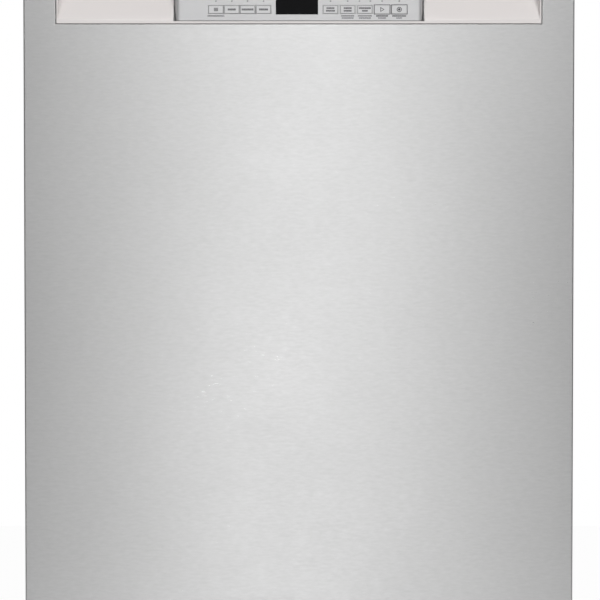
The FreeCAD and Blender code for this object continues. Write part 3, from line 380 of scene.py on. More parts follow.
# %% Streaks
def streak_group():
    """Long thin marks, as a belt leaves on brushed metal. Stretch squeezes the pattern."""
    group, entry, leave = new_group(
        "Streaks", [("Stretch", "NodeSocketVector", (1, 1, 1)), ("Contrast", "NodeSocketFloat", 1.0)],
        [("Mask", "NodeSocketFloat"), ("Height", "NodeSocketFloat")])
    place = group.nodes.new("ShaderNodeTexCoord")
    squeeze = group.nodes.new("ShaderNodeVectorMath")
    squeeze.operation = "MULTIPLY"
    group.links.new(place.outputs["Object"], squeeze.inputs[0])
    group.links.new(entry.outputs["Stretch"], squeeze.inputs[1])
    lines = group.nodes.new("ShaderNodeTexNoise")
    lines.inputs["Scale"].default_value = 1
    lines.inputs["Detail"].default_value = 5
    lines.inputs["Roughness"].default_value = 0.7
    group.links.new(squeeze.outputs["Vector"], lines.inputs["Vector"])
    centred = math_node(group, "SUBTRACT", lines.outputs["Fac"], 0.5)
    spread = math_node(group, "MULTIPLY", centred, entry.outputs["Contrast"])
    group.links.new(math_node(group, "ADD", spread, 0.5, clamp=True), leave.inputs["Mask"])
    group.links.new(lines.outputs["Fac"], leave.inputs["Height"])
    return group

# %% [markdown]
# Edges are rubbed first. A Bevel node gives a softened normal, and where it differs from the true
# normal there is an edge. Fine noise then breaks the band up into chips, because an even band
# looks painted on.

# %% Edge wear
def wear_group():
    """Where handling rubs a part: its edges, broken up by fine noise."""
    group, entry, leave = new_group(
        "Edge wear", [("Radius", "NodeSocketFloat", 0.0008), ("Amount", "NodeSocketFloat", 1.0)],
        [("Mask", "NodeSocketFloat")])
    soft = group.nodes.new("ShaderNodeBevel")
    soft.samples = 4
    group.links.new(entry.outputs["Radius"], soft.inputs["Radius"])
    sharp = group.nodes.new("ShaderNodeNewGeometry")
    likeness = group.nodes.new("ShaderNodeVectorMath")
    likeness.operation = "DOT_PRODUCT"
    group.links.new(soft.outputs["Normal"], likeness.inputs[0])
    group.links.new(sharp.outputs["Normal"], likeness.inputs[1])
    edge = math_node(group, "SUBTRACT", 1.0, likeness.outputs["Value"], clamp=True)
    strong = math_node(group, "MULTIPLY", edge, 9.0, clamp=True)
    place = group.nodes.new("ShaderNodeTexCoord")
    chips = group.nodes.new("ShaderNodeTexNoise")
    chips.inputs["Scale"].default_value = 220
    chips.inputs["Detail"].default_value = 3
    group.links.new(place.outputs["Object"], chips.inputs["Vector"])
    broken = math_node(group, "MULTIPLY", strong, chips.outputs["Fac"])
    mask = math_node(group, "MULTIPLY", broken, entry.outputs["Amount"], clamp=True)
    group.links.new(mask, leave.inputs["Mask"])
    return group

# %% [markdown]
# Moulded plastic copies the spark-eroded skin of its steel mould. Smooth Voronoi cells are close
# to that skin, and go only to a Bump node as a height.

# %% Moulded texture
def pebble_group():
    """The fine spark-eroded texture of moulded plastic, as a height."""
    group, entry, leave = new_group(
        "Moulded texture", [("Scale", "NodeSocketFloat", 900.0)], [("Height", "NodeSocketFloat")])
    place = group.nodes.new("ShaderNodeTexCoord")
    cells = group.nodes.new("ShaderNodeTexVoronoi")
    cells.feature = "SMOOTH_F1"
    group.links.new(place.outputs["Object"], cells.inputs["Vector"])
    group.links.new(entry.outputs["Scale"], cells.inputs["Scale"])
    group.links.new(cells.outputs["Distance"], leave.inputs["Height"])
    return group


BLOTCHES, STREAKS, WEAR, PEBBLE = blotch_group(), streak_group(), wear_group(), pebble_group()
print("groups:", [group.name for group in (BLOTCHES, STREAKS, WEAR, PEBBLE)])


# %% [markdown]
# A finish starts as a Principled shader with its plain values. Small helpers then tint the colour
# with a mask, spread the roughness and add a bump, so that each finish below is a few lines long.

# %% Building a finish
class Finish:
    """A material with a Principled shader and room for masks and bumps."""

    def __init__(self, name, colour, roughness, metallic=0.0, **plain):
        self.material = bpy.data.materials.new(name)
        self.material.use_nodes = True
        self.tree = self.material.node_tree
        self.shader = self.tree.nodes["Principled BSDF"]
        self.colour = (*colour, 1)
        self.shader.inputs["Base Color"].default_value = self.colour
        self.shader.inputs["Roughness"].default_value = roughness
        self.shader.inputs["Metallic"].default_value = metallic
        for label, value in plain.items():
            self.shader.inputs[label.replace("_", " ")].default_value = value
        self.roughness = roughness
        self.colour_source = None
        self.rough_source = None
        self.normal_source = None

    def effect(self, group, **values):
        node = self.tree.nodes.new("ShaderNodeGroup")
        node.node_tree = group
        for label, value in values.items():
            node.inputs[label].default_value = value
        return node

    def tint(self, mask, colour, amount=1.0):
        """Mixes a second colour in where the mask is bright."""
        mix = self.tree.nodes.new("ShaderNodeMix")
        mix.data_type = "RGBA"
        share = math_node(self.tree, "MULTIPLY", mask, amount, clamp=True)
        self.tree.links.new(share, mix.inputs["Factor"])
        if self.colour_source is None:
            mix.inputs["A"].default_value = self.colour
        else:
            self.tree.links.new(self.colour_source, mix.inputs["A"])
        mix.inputs["B"].default_value = (*colour, 1)
        self.colour_source = mix.outputs["Result"]
        self.tree.links.new(self.colour_source, self.shader.inputs["Base Color"])
        return self

    def spread(self, mask, amount):
        """Makes the roughness vary round its plain value."""
        centred = math_node(self.tree, "SUBTRACT", mask, 0.5)
        step = math_node(self.tree, "MULTIPLY", centred, amount)
        start = self.roughness if self.rough_source is None else self.rough_source
        self.rough_source = math_node(self.tree, "ADD", step, start, clamp=True)
        self.tree.links.new(self.rough_source, self.shader.inputs["Roughness"])
        return self

    def bump(self, height, distance, strength=1.0):
        node = self.tree.nodes.new("ShaderNodeBump")
        node.inputs["Distance"].default_value = distance
        node.inputs["Strength"].default_value = strength
        self.tree.links.new(height, node.inputs["Height"])
        if self.normal_source is not None:
            self.tree.links.new(self.normal_source, node.inputs["Normal"])
        self.normal_source = node.outputs["Normal"]
        self.tree.links.new(self.normal_source, self.shader.inputs["Normal"])
        return self

# %% [markdown]
# The door, the tub and the inner door are stainless sheet, brushed by a belt. The marks darken
# the colour a little, spread the roughness and raise a very low bump. Faint patches stand for
# finger grease.

# %% Brushed sheet
def brushed(name, colour, roughness, stretch, bump, **plain):
    """Brushed sheet: belt marks and faint grease patches."""
    made = Finish(name, colour, roughness, metallic=1.0, **plain)
    marks = made.effect(STREAKS, Stretch=stretch, Contrast=2.0)
    patches = made.effect(BLOTCHES, Scale=3.2, Contrast=1.3)
    dark = tuple(c * 0.80 for c in colour)
    made.tint(marks.outputs["Mask"], dark, 0.55)
    made.spread(marks.outputs["Mask"], 0.05)
    made.spread(patches.outputs["Mask"], 0.05)
    made.bump(marks.outputs["Height"], bump)
    return made

# %% [markdown]
# Moulded plastic is nearly one colour. It looks real only when its sheen is uneven, its skin has
# a grain and its edges are polished by handling, so each of those is one line here.

# %% Moulded plastic
def moulded(name, colour, roughness, texture=900.0, bump=0.00003, wear=0.35, **plain):
    """Moulded plastic: fine texture, uneven sheen, edges polished by handling."""
    made = Finish(name, colour, roughness, **plain)
    patches = made.effect(BLOTCHES, Scale=9.0, Contrast=1.2)
    rubbed = made.effect(WEAR, Radius=0.0007, Amount=wear)
    grain = made.effect(PEBBLE, Scale=texture)
    made.tint(patches.outputs["Mask"], tuple(c * 0.9 for c in colour), 0.5)
    made.tint(rubbed.outputs["Mask"], tuple(min(1, c * 1.35 + 0.02) for c in colour), 0.8)
    made.spread(patches.outputs["Mask"], 0.12)
    made.bump(grain.outputs["Height"], bump, 0.6)
    return made

# %% [markdown]
# Zinc and nickel plating dry in spangles. A coarse and a fine blotch pattern together give the
# tone and the bump, and the edges are scuffed bright.

# %% Plated steel
def plated(name, colour, roughness):
    """Plated or galvanised steel: spangled tone and scuffed edges."""
    made = Finish(name, colour, roughness, metallic=1.0)
    patches = made.effect(BLOTCHES, Scale=38.0, Contrast=2.2)
    fine = made.effect(BLOTCHES, Scale=240.0, Contrast=1.5)
    rubbed = made.effect(WEAR, Radius=0.0006, Amount=0.5)
    made.tint(patches.outputs["Mask"], tuple(c * 0.78 for c in colour), 0.8)
    made.tint(rubbed.outputs["Mask"], tuple(min(1, c * 1.3) for c in colour), 0.9)
    made.spread(patches.outputs["Mask"], 0.16)
    made.bump(fine.outputs["Mask"], 0.00002, 0.5)
    return made

# %% [markdown]
# Rubber seals are matt, and a grey bloom comes to their surface with age. A lighter tint through
# the blotch mask gives it.

# %% Rubber
def rubbery(name, colour, roughness=0.72):
    """Moulded rubber: dusty bloom and a faint skin texture."""
    made = Finish(name, colour, roughness)
    bloom = made.effect(BLOTCHES, Scale=26.0, Contrast=1.8)
    grain = made.effect(PEBBLE, Scale=1400.0)
    made.tint(bloom.outputs["Mask"], tuple(c * 1.9 + 0.012 for c in colour), 0.5)
    made.spread(bloom.outputs["Mask"], 0.14)
    made.bump(grain.outputs["Height"], 0.00003, 0.5)
    return made


# %% [markdown]
# ## The finishes
# One call for each finish of the machine. The front sheet is brushed from side to side. The tub
# and the inner door are satin sheet drawn in a press, so their marks are fainter and run upwards.

# %% Sheet, plastic, rubber and plated finishes
FINISHES = {
    "front_steel": brushed("front_steel", (0.51, 0.51, 0.51), 0.30, (110, 110, 420), 0.000002),
    "tub_steel": brushed("tub_steel", (0.64, 0.645, 0.65), 0.36, (500, 500, 12), 0.0000025),
    "zinc_steel": plated("zinc_steel", (0.52, 0.53, 0.54), 0.42),
    "seal_rubber": rubbery("seal_rubber", (0.035, 0.035, 0.038)),
    "damping_pad": rubbery("damping_pad", (0.03, 0.03, 0.032), 0.85),
    "base_plastic": moulded("base_plastic", (0.045, 0.046, 0.05), 0.52),
    "pump_case": moulded("pump_case", (0.09, 0.095, 0.105), 0.45, texture=600.0),
    "pocket_plastic": moulded("pocket_plastic", (0.72, 0.685, 0.675), 0.46, wear=0.1),
    "fascia_silver": moulded("fascia_silver", (0.52, 0.52, 0.525), 0.36, bump=0.00001, wear=0.15,
                              metallic=0.5),
    "key_silver": moulded("key_silver", (0.60, 0.60, 0.605), 0.34, bump=0.00001, wear=0.2),
    "display_glass": Finish("display_glass", (0.005, 0.005, 0.0055), 0.22, Specular_IOR_Level=0.02),
    "board_green": moulded("board_green", (0.02, 0.13, 0.05), 0.4),
    "lamp_lens": moulded("lamp_lens", (0.30, 0.30, 0.30), 0.25, bump=0.00001),
    "grey_plastic": moulded("grey_plastic", (0.30, 0.31, 0.33), 0.42),
    "spray_plastic": moulded("spray_plastic", (0.20, 0.215, 0.235), 0.4),
    "white_plastic": moulded("white_plastic", (0.74, 0.74, 0.72), 0.4),
    "screw_steel": plated("screw_steel", (0.66, 0.66, 0.67), 0.26),
}
print(len(FINISHES), "finishes so far")

# %% [markdown]
# The kick plate is sheet with baked satin paint. Baking leaves a slight orange peel, and shoes
# leave scuffs that run sideways near the floor.

# %% Kick plate paint
def toe_paint():
    """Baked satin black paint with a slight orange peel and scuffs near the floor."""
    made = Finish("toe_paint", (0.022, 0.022, 0.024), 0.38)
    peel = made.effect(BLOTCHES, Scale=320.0, Contrast=1.2)
    scuffs = made.effect(STREAKS, Stretch=(30, 30, 900), Contrast=2.6)
    rubbed = made.effect(WEAR, Radius=0.001, Amount=0.7)
    made.tint(scuffs.outputs["Mask"], (0.045, 0.045, 0.047), 0.5)
    made.tint(rubbed.outputs["Mask"], (0.12, 0.12, 0.12), 0.6)
    made.spread(scuffs.outputs["Mask"], 0.2)
    made.bump(peel.outputs["Mask"], 0.00003, 0.7)
    return made

# %% [markdown]
# The sound blanket is needled felt made from torn fibres of many shades. Sheen gives it the soft
# rim, mottling gives the shades, and fine streaks with a deep bump give the fibres.

# %% Felt
def felt_finish():
    """Needled felt: fine fibres over a mottled grey."""
    made = Finish("felt", (0.13, 0.13, 0.135), 0.95, Sheen_Weight=0.35, Sheen_Roughness=0.6)
    mottle = made.effect(BLOTCHES, Scale=46.0, Contrast=2.4)
    fibres = made.effect(STREAKS, Stretch=(260, 900, 420), Contrast=2.8)
    made.tint(mottle.outputs["Mask"], (0.22, 0.22, 0.225), 0.8)
    made.tint(fibres.outputs["Mask"], (0.05, 0.05, 0.055), 0.6)
    made.bump(fibres.outputs["Height"], 0.0006, 0.8)
    return made

# %% [markdown]
# Rack wire is dipped in nylon powder. The coat is thick and soft-edged, so it gets a clear coat
# of its own and slow runs instead of a sharp grain.

# %% Rack coating
def rack_finish():
    """Nylon dip coating: soft gloss with slight runs."""
    made = Finish("rack_coat", (0.40, 0.42, 0.45), 0.32, Coat_Weight=0.25, Coat_Roughness=0.2)
    runs = made.effect(BLOTCHES, Scale=60.0, Contrast=1.5)
    rubbed = made.effect(WEAR, Radius=0.0006, Amount=0.3)
    made.tint(runs.outputs["Mask"], (0.34, 0.36, 0.39), 0.7)
    made.tint(rubbed.outputs["Mask"], (0.6, 0.62, 0.65), 0.6)
    made.spread(runs.outputs["Mask"], 0.14)
    made.bump(runs.outputs["Mask"], 0.00015, 0.5)
    return made

# %% [markdown]
# The heating element is a nickel alloy tube that browns unevenly in use, so two patterns of
# different size carry the heat colours and the scale.

# %% Heater tube
def heater_finish():
    """Nickel alloy tube, browned and mottled by heat."""
    made = Finish("heater_steel", (0.26, 0.235, 0.22), 0.42, metallic=1.0)
    heat = made.effect(BLOTCHES, Scale=30.0, Contrast=2.6)
    fine = made.effect(BLOTCHES, Scale=420.0, Contrast=1.6)
    made.tint(heat.outputs["Mask"], (0.12, 0.10, 0.105), 0.8)
    made.spread(heat.outputs["Mask"], 0.25)
    made.bump(fine.outputs["Mask"], 0.00003, 0.6)
    return made

# %% [markdown]
# The four special finishes join the others. Ink for the printed marks and smears on the display
# glass come last. The glass is kept nearly black and hardly mirrors, as a filter in front of an
# unlit display does.

# %% Special finishes, ink and glass
FINISHES["toe_paint"] = toe_paint()
FINISHES["felt"] = felt_finish()
FINISHES["rack_coat"] = rack_finish()
FINISHES["heater_steel"] = heater_finish()
INK = Finish("print_ink", (0.05, 0.05, 0.055), 0.5)
ink_patches = INK.effect(BLOTCHES, Scale=500.0, Contrast=1.5)
INK.spread(ink_patches.outputs["Mask"], 0.2)
glass = FINISHES["display_glass"]
smears = glass.effect(BLOTCHES, Scale=70.0, Contrast=1.6)
glass.spread(smears.outputs["Mask"], 0.08)
glass.tint(smears.outputs["Mask"], (0.009, 0.009, 0.010), 0.6)
print(len(FINISHES), "finishes")


# %% [markdown]
# ## The door skin
# The front is one sheet of steel folded like a baking tray. It is drawn flat, cut through with
# straight cuts where the handle recess sits, and the walls are pulled back from its rim. Two
# millimetres of hem turn inwards at the back, as a real folded pan has.

# %% A sheet with openings
def sheet_with_openings(bm, x0, x1, z0, z1, y, openings):
    """A flat sheet facing the front, bisected along each opening's sides and opened there."""
    made = bmesh.ops.create_grid(bm, x_segments=1, y_segments=1, size=0.5)["verts"]
    bmesh.ops.scale(bm, vec=(x1 - x0, z1 - z0, 1), verts=made)
    bmesh.ops.rotate(bm, cent=(0, 0, 0), matrix=Matrix.Rotation(math.radians(90), 3, "X"),
                     verts=made)
    bmesh.ops.translate(bm, vec=((x0 + x1) / 2, y, (z0 + z1) / 2), verts=made)
    faces = {f for v in made for f in v.link_faces}
    uprights = sorted({round(a, 7) for o in openings for a in (o[0], o[2])})
    levels = sorted({round(a, 7) for o in openings for a in (o[1], o[3])})
    for axis, level in [(X, a) for a in uprights] + [(Z, a) for a in levels]:
        geom = list(faces | {e for f in faces for e in f.edges} | {v for f in faces for v in f.verts})
        parts = bmesh.ops.bisect_plane(bm, geom=geom, dist=1e-7, plane_co=axis * level,
                                       plane_no=axis)["geom"]
        faces = {g for g in parts if isinstance(g, bmesh.types.BMFace)}
    opened = [f for f in faces
              if any(o[0] < f.calc_center_median().x < o[2] and
                     o[1] < f.calc_center_median().z < o[3] for o in openings)]
    faces -= set(opened)
    bmesh.ops.delete(bm, geom=opened, context="FACES")
    return list(faces)

# %% [markdown]
# Walls grow from the free edges of a sheet. The edges on the outer rim and the edges round the
# openings need different depths, so one helper picks either set, and another extrudes it back.

# %% Rims and walls
def rim_edges(faces, inside=None):
    """The free edges of a sheet: those round its openings, or those on its outer rim."""
    free = [e for f in faces for e in f.edges if len(e.link_faces) == 1]
    xs = [v.co.x for f in faces for v in f.verts]
    zs = [v.co.z for f in faces for v in f.verts]
    ends = (min(xs), max(xs), min(zs), max(zs))

    def on_rim(edge):
        a, b = (v.co for v in edge.verts)
        return any(abs(a.x - end) < 1e-6 and abs(b.x - end) < 1e-6 for end in ends[:2]) or \
            any(abs(a.z - end) < 1e-6 and abs(b.z - end) < 1e-6 for end in ends[2:])

    return [e for e in free if on_rim(e) != bool(inside)]


def pull_back(bm, edges, depth, shrink_x=0.0, shrink_z=0.0):
    """Extrudes edges towards the back. Shrink moves the new edges in towards the middle."""
    grown = bmesh.ops.extrude_edge_only(bm, edges=edges)["geom"]
    verts = [g for g in grown if isinstance(g, bmesh.types.BMVert)]
    bmesh.ops.translate(bm, vec=(0, depth, 0), verts=verts)
    centre_x = (min(v.co.x for v in verts) + max(v.co.x for v in verts)) / 2
    centre_z = (min(v.co.z for v in verts) + max(v.co.z for v in verts)) / 2
    for v in verts:
        v.co.x -= math.copysign(shrink_x, v.co.x - centre_x)
        v.co.z -= math.copysign(shrink_z, v.co.z - centre_z)
    chosen = set(verts)
    return [g for g in grown if isinstance(g, bmesh.types.BMEdge)
            and all(v in chosen for v in g.verts)]


# %% [markdown]
# The skin could be a box with its back deleted, but the sheet with openings keeps the front in
# one piece round the recess. The front folds get a wide bevel, and the cut edges of the recess a
# tight one, because they are pierced and not folded. Solidify adds the gauge.

# %% Door skin
SKIN = 1.0 * MM
pan_low, pan_high = low("door_panel"), high("door_panel")
RECESS_X, RECESS_LOW, RECESS_HIGH = 267.5 * MM, 742 * MM, 794 * MM
bm = bmesh.new()
front = sheet_with_openings(bm, pan_low.x, pan_high.x, pan_low.z, pan_high.z, pan_low.y,
                            [(-RECESS_X, RECESS_LOW, RECESS_X, RECESS_HIGH)])
outer, inner = rim_edges(front), rim_edges(front, inside=True)
rear = pull_back(bm, outer, pan_high.y - pan_low.y)
pull_back(bm, rear, 0, shrink_x=7 * MM, shrink_z=7 * MM)
pull_back(bm, inner, 2.2 * MM)
bmesh.ops.recalc_face_normals(bm, faces=bm.faces)
folds = [e for e in bm.edges if len(e.link_faces) == 2 and e.calc_face_angle(0) > 1.2
         and abs(e.verts[0].co.y - e.verts[1].co.y) < 1e-6 and e.verts[0].co.y < pan_low.y + MM]
rounded = [e for e in folds if max(abs(v.co.x) for v in e.verts) > RECESS_X + MM
           or e.verts[0].co.z > RECESS_HIGH + MM or e.verts[0].co.z < RECESS_LOW - MM]
tight = [e for e in folds if e not in rounded]
bmesh.ops.bevel(bm, geom=tight, offset=0.45 * MM, segments=3, profile=0.5, affect="EDGES",
                material=-1)
rounded = [e for e in rounded if e.is_valid]
bmesh.ops.bevel(bm, geom=rounded, offset=1.6 * MM, segments=5, profile=0.5, affect="EDGES",
                material=-1)
bmesh.ops.recalc_face_normals(bm, faces=bm.faces)
skin = finish_piece("door_skin", bm, "door", "front_steel", ["door_panel"])
thick = skin.modifiers.new("sheet", "SOLIDIFY")
thick.thickness = SKIN
thick.offset = -1
print("door skin", len(skin.data.polygons), "faces")


# %% [markdown]
# ## The finger pockets
# Two scoops are moulded in one light plastic housing behind the recess. A thin bezel shows all
# round the opening, with a wider flat strip at its foot. The scoop's floor is a curve that leaves
# the strip gently and runs up and back under the door's brow, where the fingers hook in.

# %% Bezel plate
BEZEL_Y = pan_low.y + 0.35 * MM
SIDE_GAP = 0.75 * MM
HOUSE_BACK = high("pocket_housing").y
ISLAND_X = high("control_fascia").x
STRIP, CENTRE_STRIP, BROW = 4.8 * MM, 2.5 * MM, 1.2 * MM
edge_x = RECESS_X - 1.3 * SIDE_GAP
pocket_in, pocket_out = ISLAND_X + 2.0 * MM, edge_x - 1.3 * MM
floor_z = RECESS_LOW + SIDE_GAP
ceiling_z = RECESS_HIGH - SIDE_GAP
openings = [(-pocket_out, floor_z + STRIP, -pocket_in, ceiling_z - BROW),
            (pocket_in, floor_z + STRIP, pocket_out, ceiling_z - BROW),
            (-pocket_in, floor_z + CENTRE_STRIP, pocket_in, ceiling_z - BROW)]
bm = bmesh.new()
plate = sheet_with_openings(bm, -edge_x, edge_x, floor_z, ceiling_z, BEZEL_Y, openings)
pull_back(bm, rim_edges(plate), 3 * MM)

# %% [markdown]
# A scoop is one upright section extruded along the door, with a wall at its outer end. Its floor
# is one smooth curve from the strip to the back, so the shading has no crease.

# %% Scoops
def scoop_profile():
    """The section of a pocket, from the strip round to the brow, as (depth, height) points."""
    rise, reach = 50 * MM, 27 * MM
    points = [(0.0, 0.0)]
    for i in range(1, 15):
        t = i / 14
        points.append((reach * (1.55 * t - 0.55 * t * t), rise * (1.15 * t - 0.15 * t * t)))
    top = 60 * MM
    for i in range(1, 6):
        a = math.radians(90) * i / 5
        points.append((reach - 5 * MM * (1 - math.cos(a)), top - 10 * MM + 10 * MM * math.sin(a)))
    points += [(8 * MM, top), (4.5 * MM, top - 3 * MM), (4.0 * MM, top - 8 * MM)]
    brow = ceiling_z - BROW - floor_z - STRIP
    points += [(4.0 * MM, brow + 0.6 * MM), (3.4 * MM, brow), (0.0, brow)]
    return points


for side in (-1, 1):
    ring = [bm.verts.new((side * pocket_in, BEZEL_Y + d, floor_z + STRIP + h))
            for d, h in scoop_profile()]
    section = [bm.edges.new(pair) for pair in zip(ring, ring[1:])]
    grown = bmesh.ops.extrude_edge_only(bm, edges=section)["geom"]
    far = [g for g in grown if isinstance(g, bmesh.types.BMVert)]
    bmesh.ops.translate(bm, vec=(side * (pocket_out - pocket_in), 0, 0), verts=far)
    bm.faces.new(sorted(far, key=lambda v: min(range(len(ring)), key=lambda i: math.dist(
        v.co.yz, ring[i].co.yz))))
bmesh.ops.remove_doubles(bm, verts=bm.verts, dist=0.00001)
bmesh.ops.recalc_face_normals(bm, faces=bm.faces)
if any(f.calc_center_median().y < BEZEL_Y + 0.01 * MM and f.normal.y > 0 for f in bm.faces):
    bmesh.ops.reverse_faces(bm, faces=bm.faces[:])
pocket = finish_piece("pocket_shell", bm, "door", "pocket_plastic", ["pocket_housing"], smooth=28,
                      recalc=False)
thick = pocket.modifiers.new("wall", "SOLIDIFY")
thick.thickness = 1.6 * MM
thick.offset = -1
softened = pocket.modifiers.new("rounding", "BEVEL")
softened.width = 0.25 * MM
softened.segments = 2
softened.limit_method = "ANGLE"
softened.angle_limit = math.radians(50)

# %% [markdown]
# The housing is glued to the back of the skin by a flange all round the recess. Ribs stiffen it,
# and a plate closes it behind the console.

# %% Pocket flange
bm = bmesh.new()
house_low, house_high = low("pocket_housing"), high("pocket_housing")
back_of_skin = pan_low.y + SKIN
for x0, x1, z0, z1 in ((house_low.x, house_high.x, house_low.z, RECESS_LOW - MM),
                       (house_low.x, house_high.x, RECESS_HIGH + 14 * MM, house_high.z),
                       (house_low.x, -RECESS_X - MM, RECESS_LOW - MM, RECESS_HIGH + 14 * MM),
                       (RECESS_X + MM, house_high.x, RECESS_LOW - MM, RECESS_HIGH + 14 * MM)):
    add_box(bm, (x0, back_of_skin, z0), (x1, back_of_skin + 4 * MM, z1), 0.6 * MM)
for i in range(9):
    x = house_low.x + 12 * MM + i * (house_high.x - house_low.x - 24 * MM) / 8
    add_box(bm, (x - MM, back_of_skin + 3 * MM, house_high.z - 7 * MM),
            (x + MM, HOUSE_BACK, house_high.z - MM), 0.3 * MM)
    add_box(bm, (x - MM, back_of_skin + 3 * MM, house_low.z + MM),
            (x + MM, HOUSE_BACK - 8 * MM, house_low.z + 12 * MM), 0.3 * MM)
add_box(bm, (-pocket_in, HOUSE_BACK - 6 * MM, RECESS_LOW), (pocket_in, HOUSE_BACK - 4 * MM,
                                                           RECESS_HIGH), 0.5 * MM)
finish_piece("pocket_flange", bm, "door", "pocket_plastic")
print("pockets:", round(1000 * (pocket_out - pocket_in)), "mm wide each")

# %% [markdown]
# ## The control console
# The console is a shallow cap that stands in the middle of the recess. Its upright edges are
# rounded far more than its top and foot. The openings are cut a quarter of a millimetre wider
# than the keys, and that gap draws each key's outline.

# %% Console cap
face_y = low("control_fascia").y
CAP_LOW, CAP_HIGH = floor_z + CENTRE_STRIP + 0.3 * MM, high("control_fascia").z
GAP = 0.25 * MM
key_boxes = [(low(f"key_{i}"), high(f"key_{i}")) for i in range(1, 10)]
window_low, window_high = low("display_window"), high("display_window")
openings = [(a.x - GAP, a.z - GAP, b.x + GAP, b.z + GAP) for a, b in key_boxes]
openings.append((window_low.x - 0.1 * MM, window_low.z - 0.1 * MM, window_high.x + 0.1 * MM,
                 window_high.z + 0.1 * MM))
bm = bmesh.new()
cap = sheet_with_openings(bm, -ISLAND_X, ISLAND_X, CAP_LOW, CAP_HIGH, face_y, openings)
outer, inner = rim_edges(cap), rim_edges(cap, inside=True)
pull_back(bm, outer, 25 * MM)
pull_back(bm, inner, 2.2 * MM)
bmesh.ops.recalc_face_normals(bm, faces=bm.faces)
uprights = [e for e in bm.edges if all(abs(abs(v.co.x) - ISLAND_X) < 1e-6
                                       and abs(v.co.y - face_y) < 1e-6 for v in e.verts)]
bmesh.ops.bevel(bm, geom=uprights, offset=5 * MM, segments=8, profile=0.5, affect="EDGES",
                material=-1)
level_rim = [e for e in bm.edges if len(e.link_faces) == 2
             and sum(abs(f.normal.z) > 0.99 for f in e.link_faces) == 1
             and any(abs(e.verts[0].co.z - z) < 1e-6 for z in (CAP_LOW, CAP_HIGH))]
bmesh.ops.bevel(bm, geom=level_rim, offset=0.8 * MM, segments=4, profile=0.5, affect="EDGES",
                material=-1, clamp_overlap=True)
finish_piece("console_cap", bm, "door", "fascia_silver", ["control_fascia"], smooth=30)
print("console:", round(2000 * ISLAND_X), "mm wide,", round(1000 * (CAP_HIGH - CAP_LOW)), "mm tall")

# %% [markdown]
# ## Keys, marks and lamps
# Each key is its own block with softened edges, and rides on its own body so that it can be
# pressed. The printed marks are generic: rows of blocks for words, a power sign, a start sign.

# %% Printed shapes
INK_DEPTH, LETTER_PITCH = 0.03 * MM, 1.1 * MM


def plate_mark(bm, points, y):
    """A thin printed shape from an outline of (x, z) points."""
    verts = [bm.verts.new((x, y, z)) for x, z in points]
    face = bm.faces.new(verts)
    grown = bmesh.ops.extrude_face_region(bm, geom=[face])["geom"]
    bmesh.ops.translate(bm, vec=(0, -INK_DEPTH, 0),
                        verts=[g for g in grown if isinstance(g, bmesh.types.BMVert)])


def bar(bm, x, z, wide, tall, y):
    """A printed bar, given by its middle."""
    plate_mark(bm, [(x - wide / 2, z - tall / 2), (x + wide / 2, z - tall / 2),
                    (x + wide / 2, z + tall / 2), (x - wide / 2, z + tall / 2)], y)


def ring_mark(bm, x, z, radius, width, y, sides=24):
    """A printed ring."""
    for i in range(sides):
        a, b = (math.tau * (i + k) / sides + math.tau / 4 for k in (0, 1))
        plate_mark(bm, [(x + r * math.cos(t), z + r * math.sin(t)) for r, t in
                        ((radius, a), (radius, b), (radius - width, b), (radius - width, a))], y)


def disc_mark(bm, x, z, radius, y, sides=16):
    """A printed disc."""
    plate_mark(bm, [(x + radius * math.cos(math.tau * i / sides),
                     z + radius * math.sin(math.tau * i / sides)) for i in range(sides)], y)

# %% [markdown]
# Where a real machine has words, this one has rows of blocks. A row has the length and the weight
# of a word without being one. The start key has an open triangle, and the stop key a ring.

# %% Words and signs
def legend(bm, x, z, wide, tall, y):
    """A row of small blocks of uneven width, which stands for a printed word."""
    count = round(wide / LETTER_PITCH)
    for i in range(count):
        block = (0.84, 0.70, 0.88, 0.76)[i % 4] * LETTER_PITCH
        bar(bm, x + (i - (count - 1) / 2) * LETTER_PITCH, z, block, tall, y)


def outline(bm, x0, x1, z0, z1, wide, y):
    """A printed frame whose outer edges are given."""
    for a0, a1, b0, b1 in ((x0, x1, z1 - wide, z1), (x0, x1, z0, z0 + wide),
                           (x0, x0 + wide, z0 + wide, z1 - wide),
                           (x1 - wide, x1, z0 + wide, z1 - wide)):
        bar(bm, (a0 + a1) / 2, (b0 + b1) / 2, a1 - a0, b1 - b0, y)


def triangle(x, z, size):
    """The three corners of a start sign that points to the right."""
    return [(x - 0.7 * size, z - size), (x + size, z), (x - 0.7 * size, z + size)]


# the lengths, in millimetres, of the rows of blocks on each key and below it
KEY_ROWS = {2: (8.8,), 3: (13.2,), 4: (9.9,), 5: (8.8, 9.9), 6: (8.8, 8.8), 7: (13.2, 6.6)}
LOWER_ROWS = {1: (18.7,), 6: (14.3, 13.2), 7: (15.4, 13.2), 8: (13.2, 8.8), 9: (15.4, 6.6)}


def draw_sign(bm, number, x, z, y):
    """The sign on a key."""
    if number == 1:
        for i in (-1, 0, 1):
            bar(bm, x, z + i * 1.35 * MM, 4.6 * MM, 0.85 * MM, y)
    elif number in KEY_ROWS:
        rows = KEY_ROWS[number]
        for i, wide in enumerate(rows):
            legend(bm, x, z + (len(rows) - 1) * (1.45 - 2.9 * i) * MM, wide * MM,
                   (2.2 if len(rows) == 1 else 1.9) * MM, y)
    elif number == 8:
        outer, inner = triangle(x, z, 2.7 * MM), triangle(x - 0.1 * MM, z, 1.5 * MM)
        for i in range(3):
            k = (i + 1) % 3
            plate_mark(bm, [outer[i], outer[k], inner[k], inner[i]], y)
    else:
        ring_mark(bm, x, z, 2.8 * MM, 0.75 * MM, y)
        disc_mark(bm, x, z, 1.3 * MM, y)

# %% [markdown]
# A key is a moulded block. It is bevelled far less than the console, and its sign is a separate
# piece on the same body, so that both go in together.

